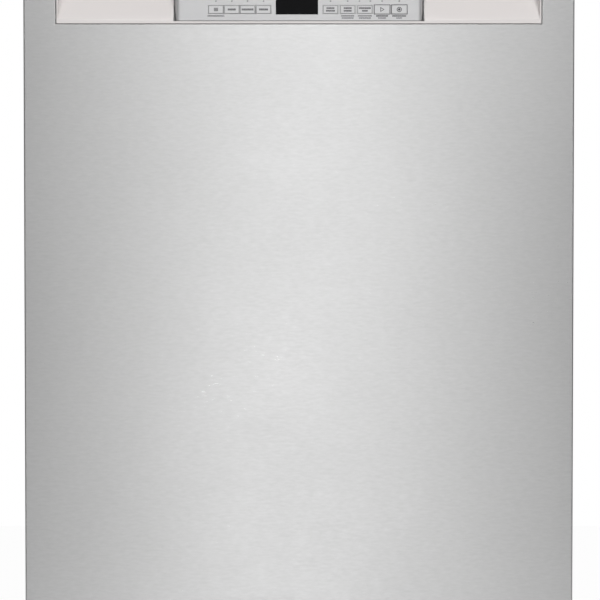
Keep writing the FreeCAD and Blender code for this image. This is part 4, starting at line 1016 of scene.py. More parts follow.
# %% Key blocks
key_face = low("key_1").y
for i, (a, b) in enumerate(key_boxes, 1):
    bm = bmesh.new()
    add_box(bm, (a.x, a.y, a.z), (b.x, b.y, b.z), 0.32 * MM, 3)
    finish_piece(f"key_cap_{i}", bm, f"key_{i}", "key_silver", [f"key_{i}"])
    bm = bmesh.new()
    draw_sign(bm, i, (a.x + b.x) / 2, (a.z + b.z) / 2, key_face + 0.005 * MM)
    if i < 8:
        inset = 0.35 * MM
        outline(bm, a.x + inset, b.x - inset, a.z + inset, b.z - inset, 0.32 * MM,
                key_face + 0.005 * MM)
    finish_piece(f"key_sign_{i}", bm, f"key_{i}", "display_glass")

# %% [markdown]
# The second function of a key is printed under it. The last two keys also have a bold frame.

# %% Printed marks
bm = bmesh.new()
mark_y = face_y + 0.005 * MM
for i, rows in LOWER_ROWS.items():
    a, b = key_boxes[i - 1]
    for row, wide in enumerate(rows):
        legend(bm, (a.x + b.x) / 2, a.z - (2.4 + 2.3 * row) * MM, wide * MM,
               (1.75 if i > 7 and row == 0 else 1.25) * MM, mark_y)
for a, b in key_boxes[7:]:
    out = GAP + 0.55 * MM
    outline(bm, a.x - out, b.x + out, a.z - out, b.z + out, 0.55 * MM, mark_y)
finish_piece("console_marks", bm, "door", "display_glass")

# %% [markdown]
# Each lamp is the domed end of a light pipe that comes through the console. One key has two
# lamps. A turned outline with four points is enough for the dome.

# %% Lamps
bm = bmesh.new()
lamp_z = middle("indicator_lights").z
lamp_xs = [(a.x + b.x) / 2 for a, b in key_boxes]
seventh = lamp_xs.pop(6)
for x in lamp_xs + [seventh - 6 * MM, seventh + 6 * MM]:
    add_turned(bm, [(0, 0.35 * MM), (0.4 * MM, 0.32 * MM), (0.75 * MM, 0.2 * MM), (1.0 * MM, 0),
                    (1.0 * MM, -3 * MM), (0, -3 * MM)], (x, face_y, lamp_z), (0, -1, 0), sides=16)
finish_piece("status_lamps", bm, "door", "lamp_lens", ["indicator_lights"])

# %% [markdown]
# The display window is a flat pane let into the console, with edges that only just catch light.

# %% Display window
bm = bmesh.new()
add_box(bm, (window_low.x, face_y - 0.1 * MM, window_low.z),
        (window_high.x, face_y + 1.4 * MM, window_high.z), 0.25 * MM, 3)
finish_piece("display_pane", bm, "door", "display_glass", ["display_window"])
print("console:", len([p for p in pieces if p.startswith("key")]), "key pieces")


# %% [markdown]
# ## The inner door
# The inner door is a pressed tray. Its middle field is pushed in a few millimetres with sloping
# walls, which stiffens the sheet, and its rim is folded forward to meet the outer skin. The two
# lower corners are notched to clear the hinge arms.

# %% Inner door tray
tray_low, tray_high = low("door_liner"), high("door_liner")
tray_y = tray_high.y
NOTCH_X, NOTCH_TOP = 281 * MM, 175 * MM
FIELD_X, FIELD_LOW, FIELD_HIGH = 254 * MM, 215 * MM, 806 * MM
FIELD_SLOPE, FIELD_DEPTH = 7 * MM, 3 * MM
dispenser_hole = (-86 * MM, 429 * MM, 86 * MM, 551 * MM)
throat_hole = (-15 * MM, 832 * MM, 15 * MM, 853 * MM)
bm = bmesh.new()
sheet_with_openings(bm, tray_low.x, tray_high.x, tray_low.z, tray_high.z, tray_y,
                    [dispenser_hole, throat_hole])
for level, axis in ((-NOTCH_X, X), (NOTCH_X, X), (-FIELD_X, X), (FIELD_X, X), (NOTCH_TOP, Z),
                    (FIELD_LOW, Z), (FIELD_HIGH, Z)):
    geom = bm.verts[:] + bm.edges[:] + bm.faces[:]
    bmesh.ops.bisect_plane(bm, geom=geom, dist=1e-7, plane_co=axis * level, plane_no=axis)
notches = [f for f in bm.faces if abs(f.calc_center_median().x) > NOTCH_X
           and f.calc_center_median().z < NOTCH_TOP]
bmesh.ops.delete(bm, geom=notches, context="FACES")


def by_hole(edge):
    place = (edge.verts[0].co + edge.verts[1].co) / 2
    return any(a - MM < place.x < c + MM and b - MM < place.z < d + MM
               for a, b, c, d in (dispenser_hole, throat_hole))

# %% [markdown]
# The field is inset and pushed in, the tray's rim is pulled forward to the skin, and the folds are
# bevelled. Solidify gives the sheet its gauge last, so that every wall has the same thickness.

# %% Field and folds
rim = [e for e in bm.edges if len(e.link_faces) == 1 and not by_hole(e)]
field = [f for f in bm.faces if abs(f.calc_center_median().x) < FIELD_X
         and FIELD_LOW < f.calc_center_median().z < FIELD_HIGH]
bmesh.ops.inset_region(bm, faces=field, thickness=FIELD_SLOPE, depth=0, use_boundary=False,
                       use_even_offset=True)
sunk = {v for f in field for v in f.verts}
bmesh.ops.translate(bm, vec=(0, -FIELD_DEPTH, 0), verts=list(sunk))
pull_back(bm, rim, tray_low.y - tray_y)
bmesh.ops.recalc_face_normals(bm, faces=bm.faces)
corner = [e for e in bm.edges if len(e.link_faces) == 2 and e.calc_face_angle(0) > 1.2
          and all(abs(v.co.y - tray_y) < 1e-6 for v in e.verts)]
bmesh.ops.bevel(bm, geom=corner, offset=2.5 * MM, segments=4, profile=0.5, affect="EDGES",
                material=-1)
soft = [e for e in bm.edges if len(e.link_faces) == 2 and 0.2 < e.calc_face_angle(0) < 0.9
        and max(v.co.y for v in e.verts) < tray_y - 0.97 * FIELD_DEPTH
        and e.calc_length() > 20 * MM]
bmesh.ops.bevel(bm, geom=soft, offset=1.5 * MM, segments=3, profile=0.5, affect="EDGES",
                material=-1)
tray_piece = finish_piece("inner_door_tray", bm, "door", "tub_steel", ["door_liner"], smooth=32)
thick = tray_piece.modifiers.new("sheet", "SOLIDIFY")
thick.thickness = 0.9 * MM
thick.offset = -1
print("inner door", len(tray_piece.data.polygons), "faces")

# %% [markdown]
# ## Screws
# Pan heads with a six-lobed recess hold the two halves of the door together. The head is a turned
# outline; the recess is a star-shaped cup let into its top.

# %% Screws
def add_screw(bm, place, axis, radius, tall):
    """A pan head with a star recess, standing on a surface."""
    add_turned(bm, [(radius * 0.5, tall), (radius * 0.78, tall * 0.93), (radius * 0.95, tall * 0.6),
                    (radius, 0.0), (radius * 0.45, 0.0)], place, axis, sides=24)
    turn = Matrix.Translation(Vector(place)) @ turn_to(axis)
    lobes = [radius * (0.5 if i % 2 == 0 else 0.36) for i in range(12)]
    levels = (tall, tall * 0.25)
    rings = [[bm.verts.new(turn @ Vector((r * math.cos(math.tau * i / 12),
                                          r * math.sin(math.tau * i / 12), z)))
              for i, r in enumerate(lobes)] for z in levels]
    circle = [bm.verts.new(turn @ Vector((radius * 0.5 * math.cos(math.tau * i / 12),
                                          radius * 0.5 * math.sin(math.tau * i / 12), tall)))
              for i in range(12)]
    for i in range(12):
        k = (i + 1) % 12
        bm.faces.new((rings[0][i], rings[0][k], rings[1][k], rings[1][i]))
        if i % 2:
            bm.faces.new((circle[i - 1], circle[i], circle[k], rings[0][i]))
    bm.faces.new(rings[1])


bm = bmesh.new()
for side in (-1, 1):
    for step in range(5):
        add_screw(bm, (side * (tray_high.x - 5 * MM), tray_y, (205 + 128 * step) * MM), (0, 1, 0),
                  2.9 * MM, 1.6 * MM)
finish_piece("door_screw_set", bm, "door", "screw_steel", ["door_screws"], smooth=30)

# %% [markdown]
# ## Seals
# The tub's seal is one bulb profile on a clip foot, bent round the two upper corners. The foot
# seal of the door is a soft lip with two ribs.

# %% Seals
seal_low, seal_high = low("tub_gasket"), high("tub_gasket")
bulb = 4.3 * MM
path_x, path_top = seal_high.x - bulb, seal_high.z - bulb
bulb_y = seal_low.y + bulb + 0.2 * MM
bm = bmesh.new()
add_wire(bm, [(-path_x, bulb_y, seal_low.z), (-path_x, bulb_y, path_top), (path_x, bulb_y, path_top),
              (path_x, bulb_y, seal_low.z)], bulb, 9 * MM, sides=16, steps=8)
add_wire(bm, [(-path_x, seal_high.y - 1.6 * MM, seal_low.z), (-path_x, seal_high.y - 1.6 * MM, path_top),
              (path_x, seal_high.y - 1.6 * MM, path_top), (path_x, seal_high.y - 1.6 * MM, seal_low.z)],
         1.6 * MM, 9 * MM, sides=8, steps=8)
for side in (-1, 1):
    add_box(bm, (side * path_x - 1.5 * MM, bulb_y, seal_low.z),
            (side * path_x + 1.5 * MM, seal_high.y - MM, path_top - 9 * MM), 0.4 * MM)
add_box(bm, (-path_x + 9 * MM, bulb_y, path_top - 1.5 * MM),
        (path_x - 9 * MM, seal_high.y - MM, path_top + 1.5 * MM), 0.4 * MM)
finish_piece("tub_seal", bm, "cabinet", "seal_rubber", ["tub_gasket"], smooth=40)

# %% [markdown]
# The lip at the door's foot wipes along the tub. It is a strip with two ribs that stand out by
# different amounts.

# %% Foot seal
foot_low, foot_high = low("bottom_seal"), high("bottom_seal")
bm = bmesh.new()
add_box(bm, (foot_low.x, foot_low.y, foot_low.z), (foot_high.x, foot_low.y + 2.2 * MM, foot_high.z),
        0.7 * MM)
for z0, z1, reach in ((foot_low.z, foot_low.z + 3 * MM, 9.6), (foot_high.z - 3.4 * MM, foot_high.z, 7)):
    add_box(bm, (foot_low.x, foot_low.y + MM, z0), (foot_high.x, foot_low.y + reach * MM, z1),
            1.2 * MM, 3)
finish_piece("door_foot_seal", bm, "door", "seal_rubber", ["bottom_seal"])
print("seals:", [name for name in pieces if "seal" in name])

# %% [markdown]
# ## The sound blanket
# Felt is laid over the tub like a saddle. A flat grid is folded over the top, and rows of stitches
# pull it down, so it bulges between them. It is thinner at the stitches than between them.

# %% Blanket
felt_low, felt_high = low("insulation_blanket"), high("insulation_blanket")
half, top = felt_high.x, felt_high.z
leg = top - felt_low.z
ROUND = 12 * MM
arc = ROUND * math.pi / 2
span = 2 * (leg - ROUND) + 2 * arc + 2 * (half - ROUND)


def over_the_tub(s):
    """The point and the outward direction at a distance along the saddle's section."""
    side = -1 if s < span / 2 else 1
    t = s if side < 0 else span - s
    if t < leg - ROUND:
        return Vector((side * half, 0, felt_low.z + t)), Vector((side, 0, 0))
    t -= leg - ROUND
    if t < arc:
        a = t / ROUND
        out = Vector((side * math.cos(a), 0, math.sin(a)))
        return Vector((side * (half - ROUND), 0, top - ROUND)) + out * ROUND, out
    return Vector((side * (half - ROUND - (t - arc)), 0, top)), Vector((0, 0, 1))


bm = bmesh.new()
made = bmesh.ops.create_grid(bm, x_segments=230, y_segments=60, size=0.5)["verts"]
deep = felt_high.y - felt_low.y
for v in made:
    s, along = (v.co.x + 0.5) * span, v.co.y + 0.5
    place, out = over_the_tub(s)
    stitch_a = abs(math.sin(math.pi * s / (span / 16)))
    stitch_b = abs(math.sin(math.pi * along * 4))
    dent = 4.2 * MM * (1 - min(1, stitch_a * 3.2) ** 0.6) + \
        4.2 * MM * (1 - min(1, stitch_b * 3.2) ** 0.6)
    place.y = felt_low.y + along * deep
    lump = 0.9 * MM * (noise.noise(place * 22) + 1)
    v.co = place - out * min(dent + lump, 6.5 * MM)
blanket = finish_piece("felt_blanket", bm, "cabinet", "felt", ["insulation_blanket"], smooth=60)
thick = blanket.modifiers.new("felt", "SOLIDIFY")
thick.thickness = 3 * MM
thick.offset = -1
print("blanket", len(blanket.data.polygons), "faces")

# %% [markdown]
# ## Wire racks
# A rack is welded from bent wires. Each cross wire is one U. The lengthwise wires turn up at both
# ends. Two rims run round as closed loops with rounded corners, and the tines stand in rows.

# %% Rack helpers
rack_x = 256 * MM
rack_front, rack_back = -214 * MM, 252 * MM
WIRE, RIM, RIM_CORNER = 2 * MM, 2.6 * MM, 16 * MM


def rim_loop(bm, z):
    """A closed loop of wire round the rack."""
    mid = (rack_front + rack_back) / 2
    add_wire(bm, [(rack_x, mid, z), (rack_x, rack_back, z), (-rack_x, rack_back, z),
                  (-rack_x, rack_front, z), (rack_x, rack_front, z), (rack_x, mid, z)],
             RIM, RIM_CORNER, sides=8, steps=6, closed_ends=False)


def wire_rack(floor, rim, tine, columns):
    """A whole rack, with its floor and rim heights, and its rows of tines."""
    bm = bmesh.new()
    rows = [rack_front + 8 * MM + i * (rack_back - rack_front - 16 * MM) / 11 for i in range(12)]
    for y in rows:
        add_wire(bm, [(-rack_x + 0.6 * MM, y, rim), (-rack_x + 0.6 * MM, y, floor),
                      (rack_x - 0.6 * MM, y, floor), (rack_x - 0.6 * MM, y, rim)],
                 WIRE, 14 * MM, sides=6, steps=5)
    under = floor - 2 * WIRE
    for i in range(-4, 5):
        x = i * 56 * MM
        add_wire(bm, [(x, rack_front + 0.6 * MM, rim), (x, rack_front + 0.6 * MM, under),
                      (x, rack_back - 0.6 * MM, under), (x, rack_back - 0.6 * MM, rim)],
                 WIRE, 14 * MM, sides=6, steps=5)
    rim_loop(bm, rim)
    rim_loop(bm, (floor + rim) / 2)
    tines = [rack_front + 29 * MM + i * 34 * MM for i in range(13)]
    for x in columns:
        add_wire(bm, [(x, tines[0] - 8 * MM, floor), (x, tines[-1] + 8 * MM, floor)], WIRE, MM,
                 sides=6)
        for y in tines:
            add_turned(bm, [(0, tine), (WIRE * 0.6, tine - WIRE * 0.25), (WIRE, tine - WIRE),
                            (WIRE, 0)], (x, y, floor), (0, 0, 1), sides=6)
    return bm

# %% [markdown]
# The upper rack is the shallower one, and has three rows of short tines.

# %% Upper rack
bm = wire_rack(520 * MM, 640 * MM, 56 * MM, (-84 * MM, 28 * MM, 140 * MM))
finish_piece("upper_wire_rack", bm, "upper_rack", "rack_coat", ["upper_rack"], smooth=60)

# %% [markdown]
# The lower rack is deeper and has four rows of long tines. A bent wire at each corner carries a
# wheel.

# %% Lower rack
bm = wire_rack(184 * MM, 324 * MM, 84 * MM, (-196 * MM, -84 * MM, 28 * MM, 112 * MM))
wheel_rows = (middle("front_wheels").y, middle("rear_wheels").y)
wheel_z = middle("front_wheels").z
wheel_in, wheel_out = 263.5 * MM, 271.5 * MM
for side in (-1, 1):
    for y in wheel_rows:
        add_wire(bm, [(side * (rack_x + 3 * MM), y, 199 * MM), (side * (rack_x + 3 * MM), y, wheel_z),
                      (side * (wheel_out + 1.2 * MM), y, wheel_z)], 2.9 * MM, 3.2 * MM, sides=12,
                 steps=5)
finish_piece("lower_wire_rack", bm, "lower_rack", "rack_coat", ["lower_rack"], smooth=60)

# %% [markdown]
# A small shelf for cups folds up against the rack's side. Its hinge wire, its hoop and its nine
# rungs are the same bent wire again.

# %% Fold-up shelf
bm = bmesh.new()
shelf_z = middle("cup_shelf").z
hinge_x, lip_x = -246 * MM, -164 * MM
add_wire(bm, [(hinge_x, -149 * MM, shelf_z), (hinge_x, 149 * MM, shelf_z)], RIM, MM, sides=10)
add_wire(bm, [(hinge_x, -146 * MM, shelf_z), (lip_x, -146 * MM, shelf_z), (lip_x, 146 * MM, shelf_z),
              (hinge_x, 146 * MM, shelf_z)], 2.3 * MM, 12 * MM, sides=10, steps=6)
for i in range(9):
    y = (-112 + i * 28) * MM
    add_wire(bm, [(hinge_x, y, shelf_z), (lip_x, y, shelf_z)], 1.7 * MM, MM, sides=8)
finish_piece("fold_up_shelf", bm, "cup_shelf", "rack_coat", ["cup_shelf"], smooth=60)
print("racks:", [len(pieces[p].data.polygons) for p in ("upper_wire_rack", "lower_wire_rack")])

# %% [markdown]
# ## Rack wheels
# Each wheel is turned with a rounded tread and then given six lightening pockets between spokes.

# %% Wheels
def add_wheel(bm, x0, x1, y, z, radius, bore):
    wide = x1 - x0
    face = wide * 0.22
    add_turned(bm, [(bore, 0), (bore + 2.4 * MM, 0), (bore + 2.4 * MM, face), (radius - 4 * MM, face),
                    (radius - 3.4 * MM, 0), (radius - MM, 0), (radius, MM), (radius, wide - MM),
                    (radius - MM, wide), (radius - 3.4 * MM, wide), (radius - 4 * MM, wide - face),
                    (bore + 2.4 * MM, wide - face), (bore + 2.4 * MM, wide), (bore, wide), (bore, 0)],
               (x0, y, z), (1, 0, 0), sides=40)
    ring_of_boxes(bm, 6, (x0 + 0.2 * MM, bore + 2 * MM, -0.9 * MM),
                  (x1 - 0.2 * MM, radius - 3.6 * MM, 0.9 * MM), 0.2 * MM, "X", (0, y, z))


for name, y in zip(("front_wheels", "rear_wheels"), wheel_rows):
    bm = bmesh.new()
    for x0, x1 in ((-wheel_out, -wheel_in), (wheel_in, wheel_out)):
        add_wheel(bm, x0, x1, y, wheel_z, 18 * MM, 3.05 * MM)
    finish_piece(f"{name}_turned", bm, name, entry_slot(name), [name], smooth=30)
print("wheel axles at", [round(y, 3) for y in wheel_rows])

# %% [markdown]
# ## Spray arms
# An arm is moulded as two shells, so its section is a flattened oval that tapers to each tip. The
# jets are small raised slots on top, set at changing angles so that the water turns the arm.

# %% Arm helper
def add_spray_arm(bm, reach, half, tip, z0, tall, hub, hub_low, hub_high, bore, cx=0.0, cy=0.0):
    """Blades with an oval section, a turned hub and raised jets."""
    stations, around = 22, 20
    rings = []
    for i in range(stations + 1):
        u = -1 + 2 * i / stations
        wide = half + (tip - half) * abs(u)
        end = math.sqrt(max(0.0, 1 - max(0.0, (abs(u) - 0.94) / 0.06) ** 2))
        deep = tall / 2 * (1 - 0.18 * abs(u))
        ring = []
        for k in range(around):
            a = math.tau * k / around
            c, s = math.cos(a), math.sin(a)
            oval = (abs(c) ** 3 + abs(s) ** 3) ** (-1 / 3)
            size = max(end, 0.12)
            ring.append(bm.verts.new((cx + u * reach, cy + c * oval * wide * size,
                                      z0 + tall / 2 + s * oval * deep * size)))
        rings.append(ring)
    for a, b in zip(rings, rings[1:]):
        for k in range(around):
            n = (k + 1) % around
            bm.faces.new((a[k], a[n], b[n], b[k]))
    bm.faces.new(rings[0])
    bm.faces.new(list(reversed(rings[-1])))
    add_turned(bm, [(bore, hub_low), (hub * 0.86, hub_low), (hub, hub_low + 1.5 * MM),
                    (hub, hub_high - 2.5 * MM), (hub * 0.9, hub_high - 0.6 * MM),
                    (hub * 0.55, hub_high), (bore, hub_high)], (cx, cy, 0), (0, 0, 1), sides=48)
    for i in range(7):
        for side in (-1, 1):
            x = side * (hub + 14 * MM + i * (reach - hub - 30 * MM) / 6)
            y = (half * 0.35) * (1 if i % 2 else -1) * side
            place = Matrix.Translation((cx + x, cy + y, z0 + tall * 0.93)) @ \
                Matrix.Rotation(math.radians(20 * i), 4, "Z")
            jet = add_box(bm, (-3.2 * MM, -1.5 * MM, -0.8 * MM), (3.2 * MM, 1.5 * MM, 0.9 * MM),
                          0.4 * MM, 2)
            bmesh.ops.transform(bm, matrix=place, verts=jet)
            slit = add_box(bm, (-2.0 * MM, -0.4 * MM, 0.7 * MM), (2.0 * MM, 0.4 * MM, 1.15 * MM),
                           0.1 * MM, 1)
            bmesh.ops.transform(bm, matrix=place, verts=slit)

# %% [markdown]
# The two long arms and the small spinner under the tub's roof share one shape.
# The lowest one gets a cap over its hub, because nothing is above it.

# %% Three arms
hub_y = middle("lower_spray_arm").y
for name, reach, half, tip, z0, tall, hub, bore in (
        ("lower_spray_arm", 214, 16, 9, 151.5, 11, 20, 10.05),
        ("upper_spray_arm", 214, 16, 9, 476, 11, 20, 8.05),
        ("top_spinner", 72, 9, 6, 800, 9, 14, 6.05)):
    a, b = low(name), high(name)
    bm = bmesh.new()
    add_spray_arm(bm, reach * MM, half * MM, tip * MM, z0 * MM, tall * MM, hub * MM, a.z, b.z,
                  bore * MM, 0.0, hub_y)
    if name == "lower_spray_arm":
        add_turned(bm, [(0, b.z), (6 * MM, b.z), (9 * MM, b.z - MM), (10.05 * MM, b.z - 4 * MM)],
                   (0, hub_y, 0), (0, 0, 1), sides=48)
    finish_piece(f"{name}_moulded", bm, name, "spray_plastic", [name], smooth=38)
print("spray arms:", [name for name in pieces if name.endswith("moulded")])

# %% [markdown]
# ## Springs
# A counterbalance spring is wound from round wire: a small circle is carried along a helix, and
# its end coils are closed up.

# %% Counterbalance springs
spring_low, spring_high = low("counter_springs"), high("counter_springs")
rod_x, coil_z = 290.6 * MM, middle("counter_springs").z
COILS, TURN_STEPS, GAUGE = 17, 20, 1.25 * MM
mean_radius = (spring_high.z - spring_low.z) / 2 - GAUGE
for side, label in ((-1, "left"), (1, "right")):
    bm = bmesh.new()
    path = []
    start, length = spring_low.y + GAUGE, spring_high.y - spring_low.y - 2 * GAUGE
    for i in range(COILS * TURN_STEPS + 1):
        u = i / (COILS * TURN_STEPS)
        eased = u - 0.021 * math.sin(2 * math.tau * u)
        a = math.tau * COILS * u
        path.append(Vector((side * rod_x + mean_radius * math.cos(a), start + eased * length,
                            coil_z + mean_radius * math.sin(a))))
    rings = []
    for i, p in enumerate(path):
        run = (path[min(i + 1, len(path) - 1)] - path[max(i - 1, 0)]).normalized()
        out = (p - Vector((side * rod_x, p.y, coil_z))).normalized()
        third = run.cross(out).normalized()
        rings.append([bm.verts.new(p + GAUGE * (out * math.cos(math.tau * k / 8)
                                                + third * math.sin(math.tau * k / 8)))
                      for k in range(8)])
    for a, b in zip(rings, rings[1:]):
        for k in range(8):
            bm.faces.new((a[k], a[(k + 1) % 8], b[(k + 1) % 8], b[k]))
    bm.faces.new(rings[0])
    bm.faces.new(list(reversed(rings[-1])))
    spring = finish_piece(f"{label}_spring", bm, "cabinet", entry_slot("counter_springs"),
                          ["counter_springs"], smooth=60)
    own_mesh(spring)
print("springs:", COILS, "coils of", round(2000 * GAUGE, 1), "mm wire")

# %% [markdown]
# ## Feet
# Each foot is a turned pad on a threaded stem with a hexagon for the spanner. The thread is cut as
# a stack of sharp rings, which reads as a thread at this size.

# %% Feet
bm = bmesh.new()
for x in (-291 * MM, 291 * MM):
    for y in (-198 * MM, 268 * MM):
        add_turned(bm, [(0, 0), (10.4 * MM, 0), (11.5 * MM, MM), (11.5 * MM, 4.5 * MM),
                        (10.4 * MM, 6.2 * MM), (6.5 * MM, 7 * MM), (5 * MM, 7 * MM)],
                   (x, y, 0), (0, 0, 1), sides=40)
        thread = [(0, 6 * MM), (4.2 * MM, 6 * MM)]
        for i in range(34):
            thread += [(5.0 * MM, (7.2 + i * 1.5) * MM), (4.25 * MM, (7.95 + i * 1.5) * MM)]
        thread += [(3.6 * MM, 59.6 * MM), (0, 59.6 * MM)]
        add_turned(bm, thread, (x, y, 0), (0, 0, 1), sides=24)
        add_rod(bm, (x, y, 22 * MM), (0, 0, 1), 8 * MM, 6 * MM, sides=6, bevel=0.6 * MM)
finish_piece("threaded_feet", bm, "cabinet", entry_slot("levelling_legs"), ["levelling_legs"],
             smooth=28)

# %% [markdown]
# ## Pumps, valve and outlet
# The machinery under the tub is moulded and pressed: a wash pump with a ribbed motor can, a small
# drain pump, a water valve with its coil and terminals, and a barbed hose outlet.

# %% Wash pump
bm = bmesh.new()
px, pz = -150 * MM, 80 * MM
add_turned(bm, [(0, 0), (26 * MM, 0), (38 * MM, 3 * MM), (42 * MM, 9 * MM), (42 * MM, 25 * MM),
                (38 * MM, 31 * MM), (34 * MM, 34 * MM), (0, 34 * MM)], (px, -90 * MM, pz), (0, 1, 0),
           sides=56)
add_turned(bm, [(0, 33 * MM), (33 * MM, 33 * MM), (35.6 * MM, 36 * MM), (35.6 * MM, 128 * MM),
                (33 * MM, 134 * MM), (20 * MM, 136 * MM), (19 * MM, 150 * MM), (0, 150 * MM)],
           (px, -90 * MM, pz), (0, 1, 0), sides=56)
ring_of_boxes(bm, 18, (-0.9 * MM, -50 * MM, 34.6 * MM), (0.9 * MM, 34 * MM, 36 * MM), 0.3 * MM,
              "Y", (px, 0, pz))
add_turned(bm, [(12 * MM, 0), (15 * MM, 0), (16 * MM, 1.5 * MM), (16 * MM, 8 * MM), (14.6 * MM, 10 * MM),
                (14.6 * MM, 60 * MM), (16 * MM, 62 * MM), (16 * MM, 71.7 * MM), (12 * MM, 71.7 * MM)],
           (px, hub_y - 10 * MM, pz + 8 * MM), (1, 0, 0), sides=36)
for i in range(3):
    add_screw(bm, (px + 30 * MM * math.cos(2.1 * i), -89.9 * MM + 34 * MM,
                   pz + 30 * MM * math.sin(2.1 * i)), (0, 1, 0), 2.6 * MM, 1.8 * MM)
finish_piece("wash_pump_unit", bm, "cabinet", entry_slot("wash_pump"), ["wash_pump"], smooth=34)

# %% [markdown]
# The drain pump is a small cup with a finned motor. Its neck plugs into the sump.

# %% Drain pump
bm = bmesh.new()
dx, dz = 112 * MM, 84 * MM
add_turned(bm, [(0, 0), (22 * MM, 0), (25 * MM, 2.5 * MM), (25 * MM, 17 * MM), (21 * MM, 19 * MM),
                (21 * MM, 61 * MM), (19 * MM, 64 * MM), (8 * MM, 66 * MM), (0, 66 * MM)],
           (dx, hub_y, dz), (1, 0, 0), sides=44)
add_rod(bm, (78.4 * MM, hub_y, dz), (1, 0, 0), 13 * MM, 35 * MM, sides=36, bevel=MM)
ring_of_boxes(bm, 8, (21 * MM, -0.8 * MM, 20.4 * MM), (58 * MM, 0.8 * MM, 23 * MM), 0.3 * MM,
              "X", (dx, hub_y, dz))
finish_piece("drain_pump_unit", bm, "cabinet", entry_slot("drain_pump"), ["drain_pump"], smooth=34)

# %% [markdown]
# The drain hose is pushed over a barb. Each tooth is a slow cone that ends in a step, so a hose
# goes on easily and doesn't come off.

# %% Drain outlet
bm = bmesh.new()
spout_low, spout_high = low("drain_outlet"), high("drain_outlet")
sx, sz = -190 * MM, 68 * MM
add_box(bm, (spout_low.x, spout_low.y, spout_low.z), (spout_high.x, spout_low.y + 2 * MM,
                                                      spout_high.z), 0.7 * MM, 3)
deep = spout_high.y - spout_low.y
add_turned(bm, [(7 * MM, deep), (8.9 * MM, deep), (9.5 * MM, deep * 0.8), (8.9 * MM, deep * 0.78),
                (9.5 * MM, deep * 0.5), (8.9 * MM, deep * 0.48), (9.3 * MM, 1.5 * MM),
                (7 * MM, 1.5 * MM), (7 * MM, deep)], (sx, spout_low.y, sz), (0, 1, 0), sides=40)
for cx in (-1, 1):
    for cz in (-1, 1):
        add_screw(bm, (sx + cx * 17 * MM, spout_low.y + 2 * MM, sz + cz * 17 * MM), (0, 1, 0),
                  2.4 * MM, 1.4 * MM)
finish_piece("barbed_outlet", bm, "cabinet", entry_slot("drain_outlet"), ["drain_outlet"], smooth=34)

# %% [markdown]
# Water comes in through a valve. It has a square body, a round coil with two terminals on top,
# and a threaded spigot below.

# %% Water valve
bm = bmesh.new()
vx, vy = -236 * MM, -170 * MM
add_box(bm, (vx - 18 * MM, vy - 18 * MM, 50 * MM), (vx + 18 * MM, vy + 18 * MM, 74 * MM), 1.4 * MM, 3)
add_turned(bm, [(0, 73 * MM), (13 * MM, 73 * MM), (13 * MM, 74.5 * MM), (12 * MM, 75.5 * MM),
                (12 * MM, 90 * MM), (13 * MM, 91 * MM), (13 * MM, 92 * MM), (5 * MM, 92 * MM),
                (5 * MM, 90.8 * MM), (0, 90.8 * MM)], (vx, vy, 0), (0, 0, 1), sides=40)
for side in (-1, 1):
    add_box(bm, (vx + side * 4 * MM - 0.4 * MM, vy - 17.5 * MM, 80 * MM),
            (vx + side * 4 * MM + 0.4 * MM, vy - 11 * MM, 86 * MM), 0.15 * MM, 1)
thread = [(9.5 * MM, 50.5 * MM), (12.4 * MM, 50.5 * MM)]
for i in range(7):
    thread += [(13.2 * MM, (49.6 - i * 1.8) * MM), (12.2 * MM, (48.7 - i * 1.8) * MM)]
thread += [(12.2 * MM, 36 * MM), (9.5 * MM, 36 * MM), (9.5 * MM, 50.5 * MM)]
add_turned(bm, thread, (vx, vy, 0), (0, 0, 1), sides=40)
add_box(bm, (vx - 9 * MM, vy - 9 * MM, 47 * MM), (vx + 9 * MM, vy + 9 * MM, 51 * MM), 0.5 * MM)
finish_piece("water_valve", bm, "cabinet", entry_slot("inlet_valve"), ["inlet_valve"], smooth=30)

# %% [markdown]
# ## Filter, float and dispenser
# The fine filter is a cup of thin ribs round a mesh sleeve. The float is a domed cap. On the inner
# door, a lid with thumb ridges slides over the detergent cup, and a knurled cap closes the rinse
# aid tank.

# %% Fine filter
fx = 46 * MM
bm = bmesh.new()
add_turned(bm, [(0, 86 * MM), (25.5 * MM, 86 * MM), (27 * MM, 87.5 * MM), (27 * MM, 92 * MM),
                (26.2 * MM, 92.6 * MM), (26.2 * MM, 130 * MM), (27 * MM, 130.6 * MM),
                (27 * MM, 137.2 * MM), (26.4 * MM, 138 * MM), (25 * MM, 138 * MM), (25 * MM, 88 * MM),
                (0, 88 * MM)], (fx, hub_y, 0), (0, 0, 1), sides=64)
ring_of_boxes(bm, 24, (25.8 * MM, -0.6 * MM, 91 * MM), (26.95 * MM, 0.6 * MM, 131.5 * MM),
              0.2 * MM, "Z", (fx, hub_y, 0))
add_box(bm, (fx - 3 * MM, hub_y - 26 * MM, 135 * MM), (fx + 3 * MM, hub_y + 26 * MM, 147 * MM),
        1.4 * MM, 4)
finish_piece("fine_filter", bm, "filter_cup", entry_slot("filter_cup"), ["filter_cup"], smooth=34)

# %% [markdown]
# The float is a domed cap that rises with the water and stops the fill.

# %% Float
bm = bmesh.new()
a, b = low("float_dome"), high("float_dome")
r = (b.x - a.x) / 2
add_turned(bm, [(0, b.z), (r * 0.5, b.z - 0.5 * MM), (r * 0.85, b.z - 3 * MM), (r * 0.97, b.z - 8 * MM),
                (r * 0.97, a.z + 2 * MM), (r, a.z + 1.6 * MM), (r, a.z), (r - 2 * MM, a.z),
                (r - 2 * MM, b.z - 8 * MM), (r * 0.6, b.z - 3.4 * MM), (0, b.z - 2.6 * MM)],
           ((a.x + b.x) / 2, (a.y + b.y) / 2, 0), (0, 0, 1), sides=48)
finish_piece("float_cap", bm, "float_dome", entry_slot("float_dome"), ["float_dome"], smooth=40)

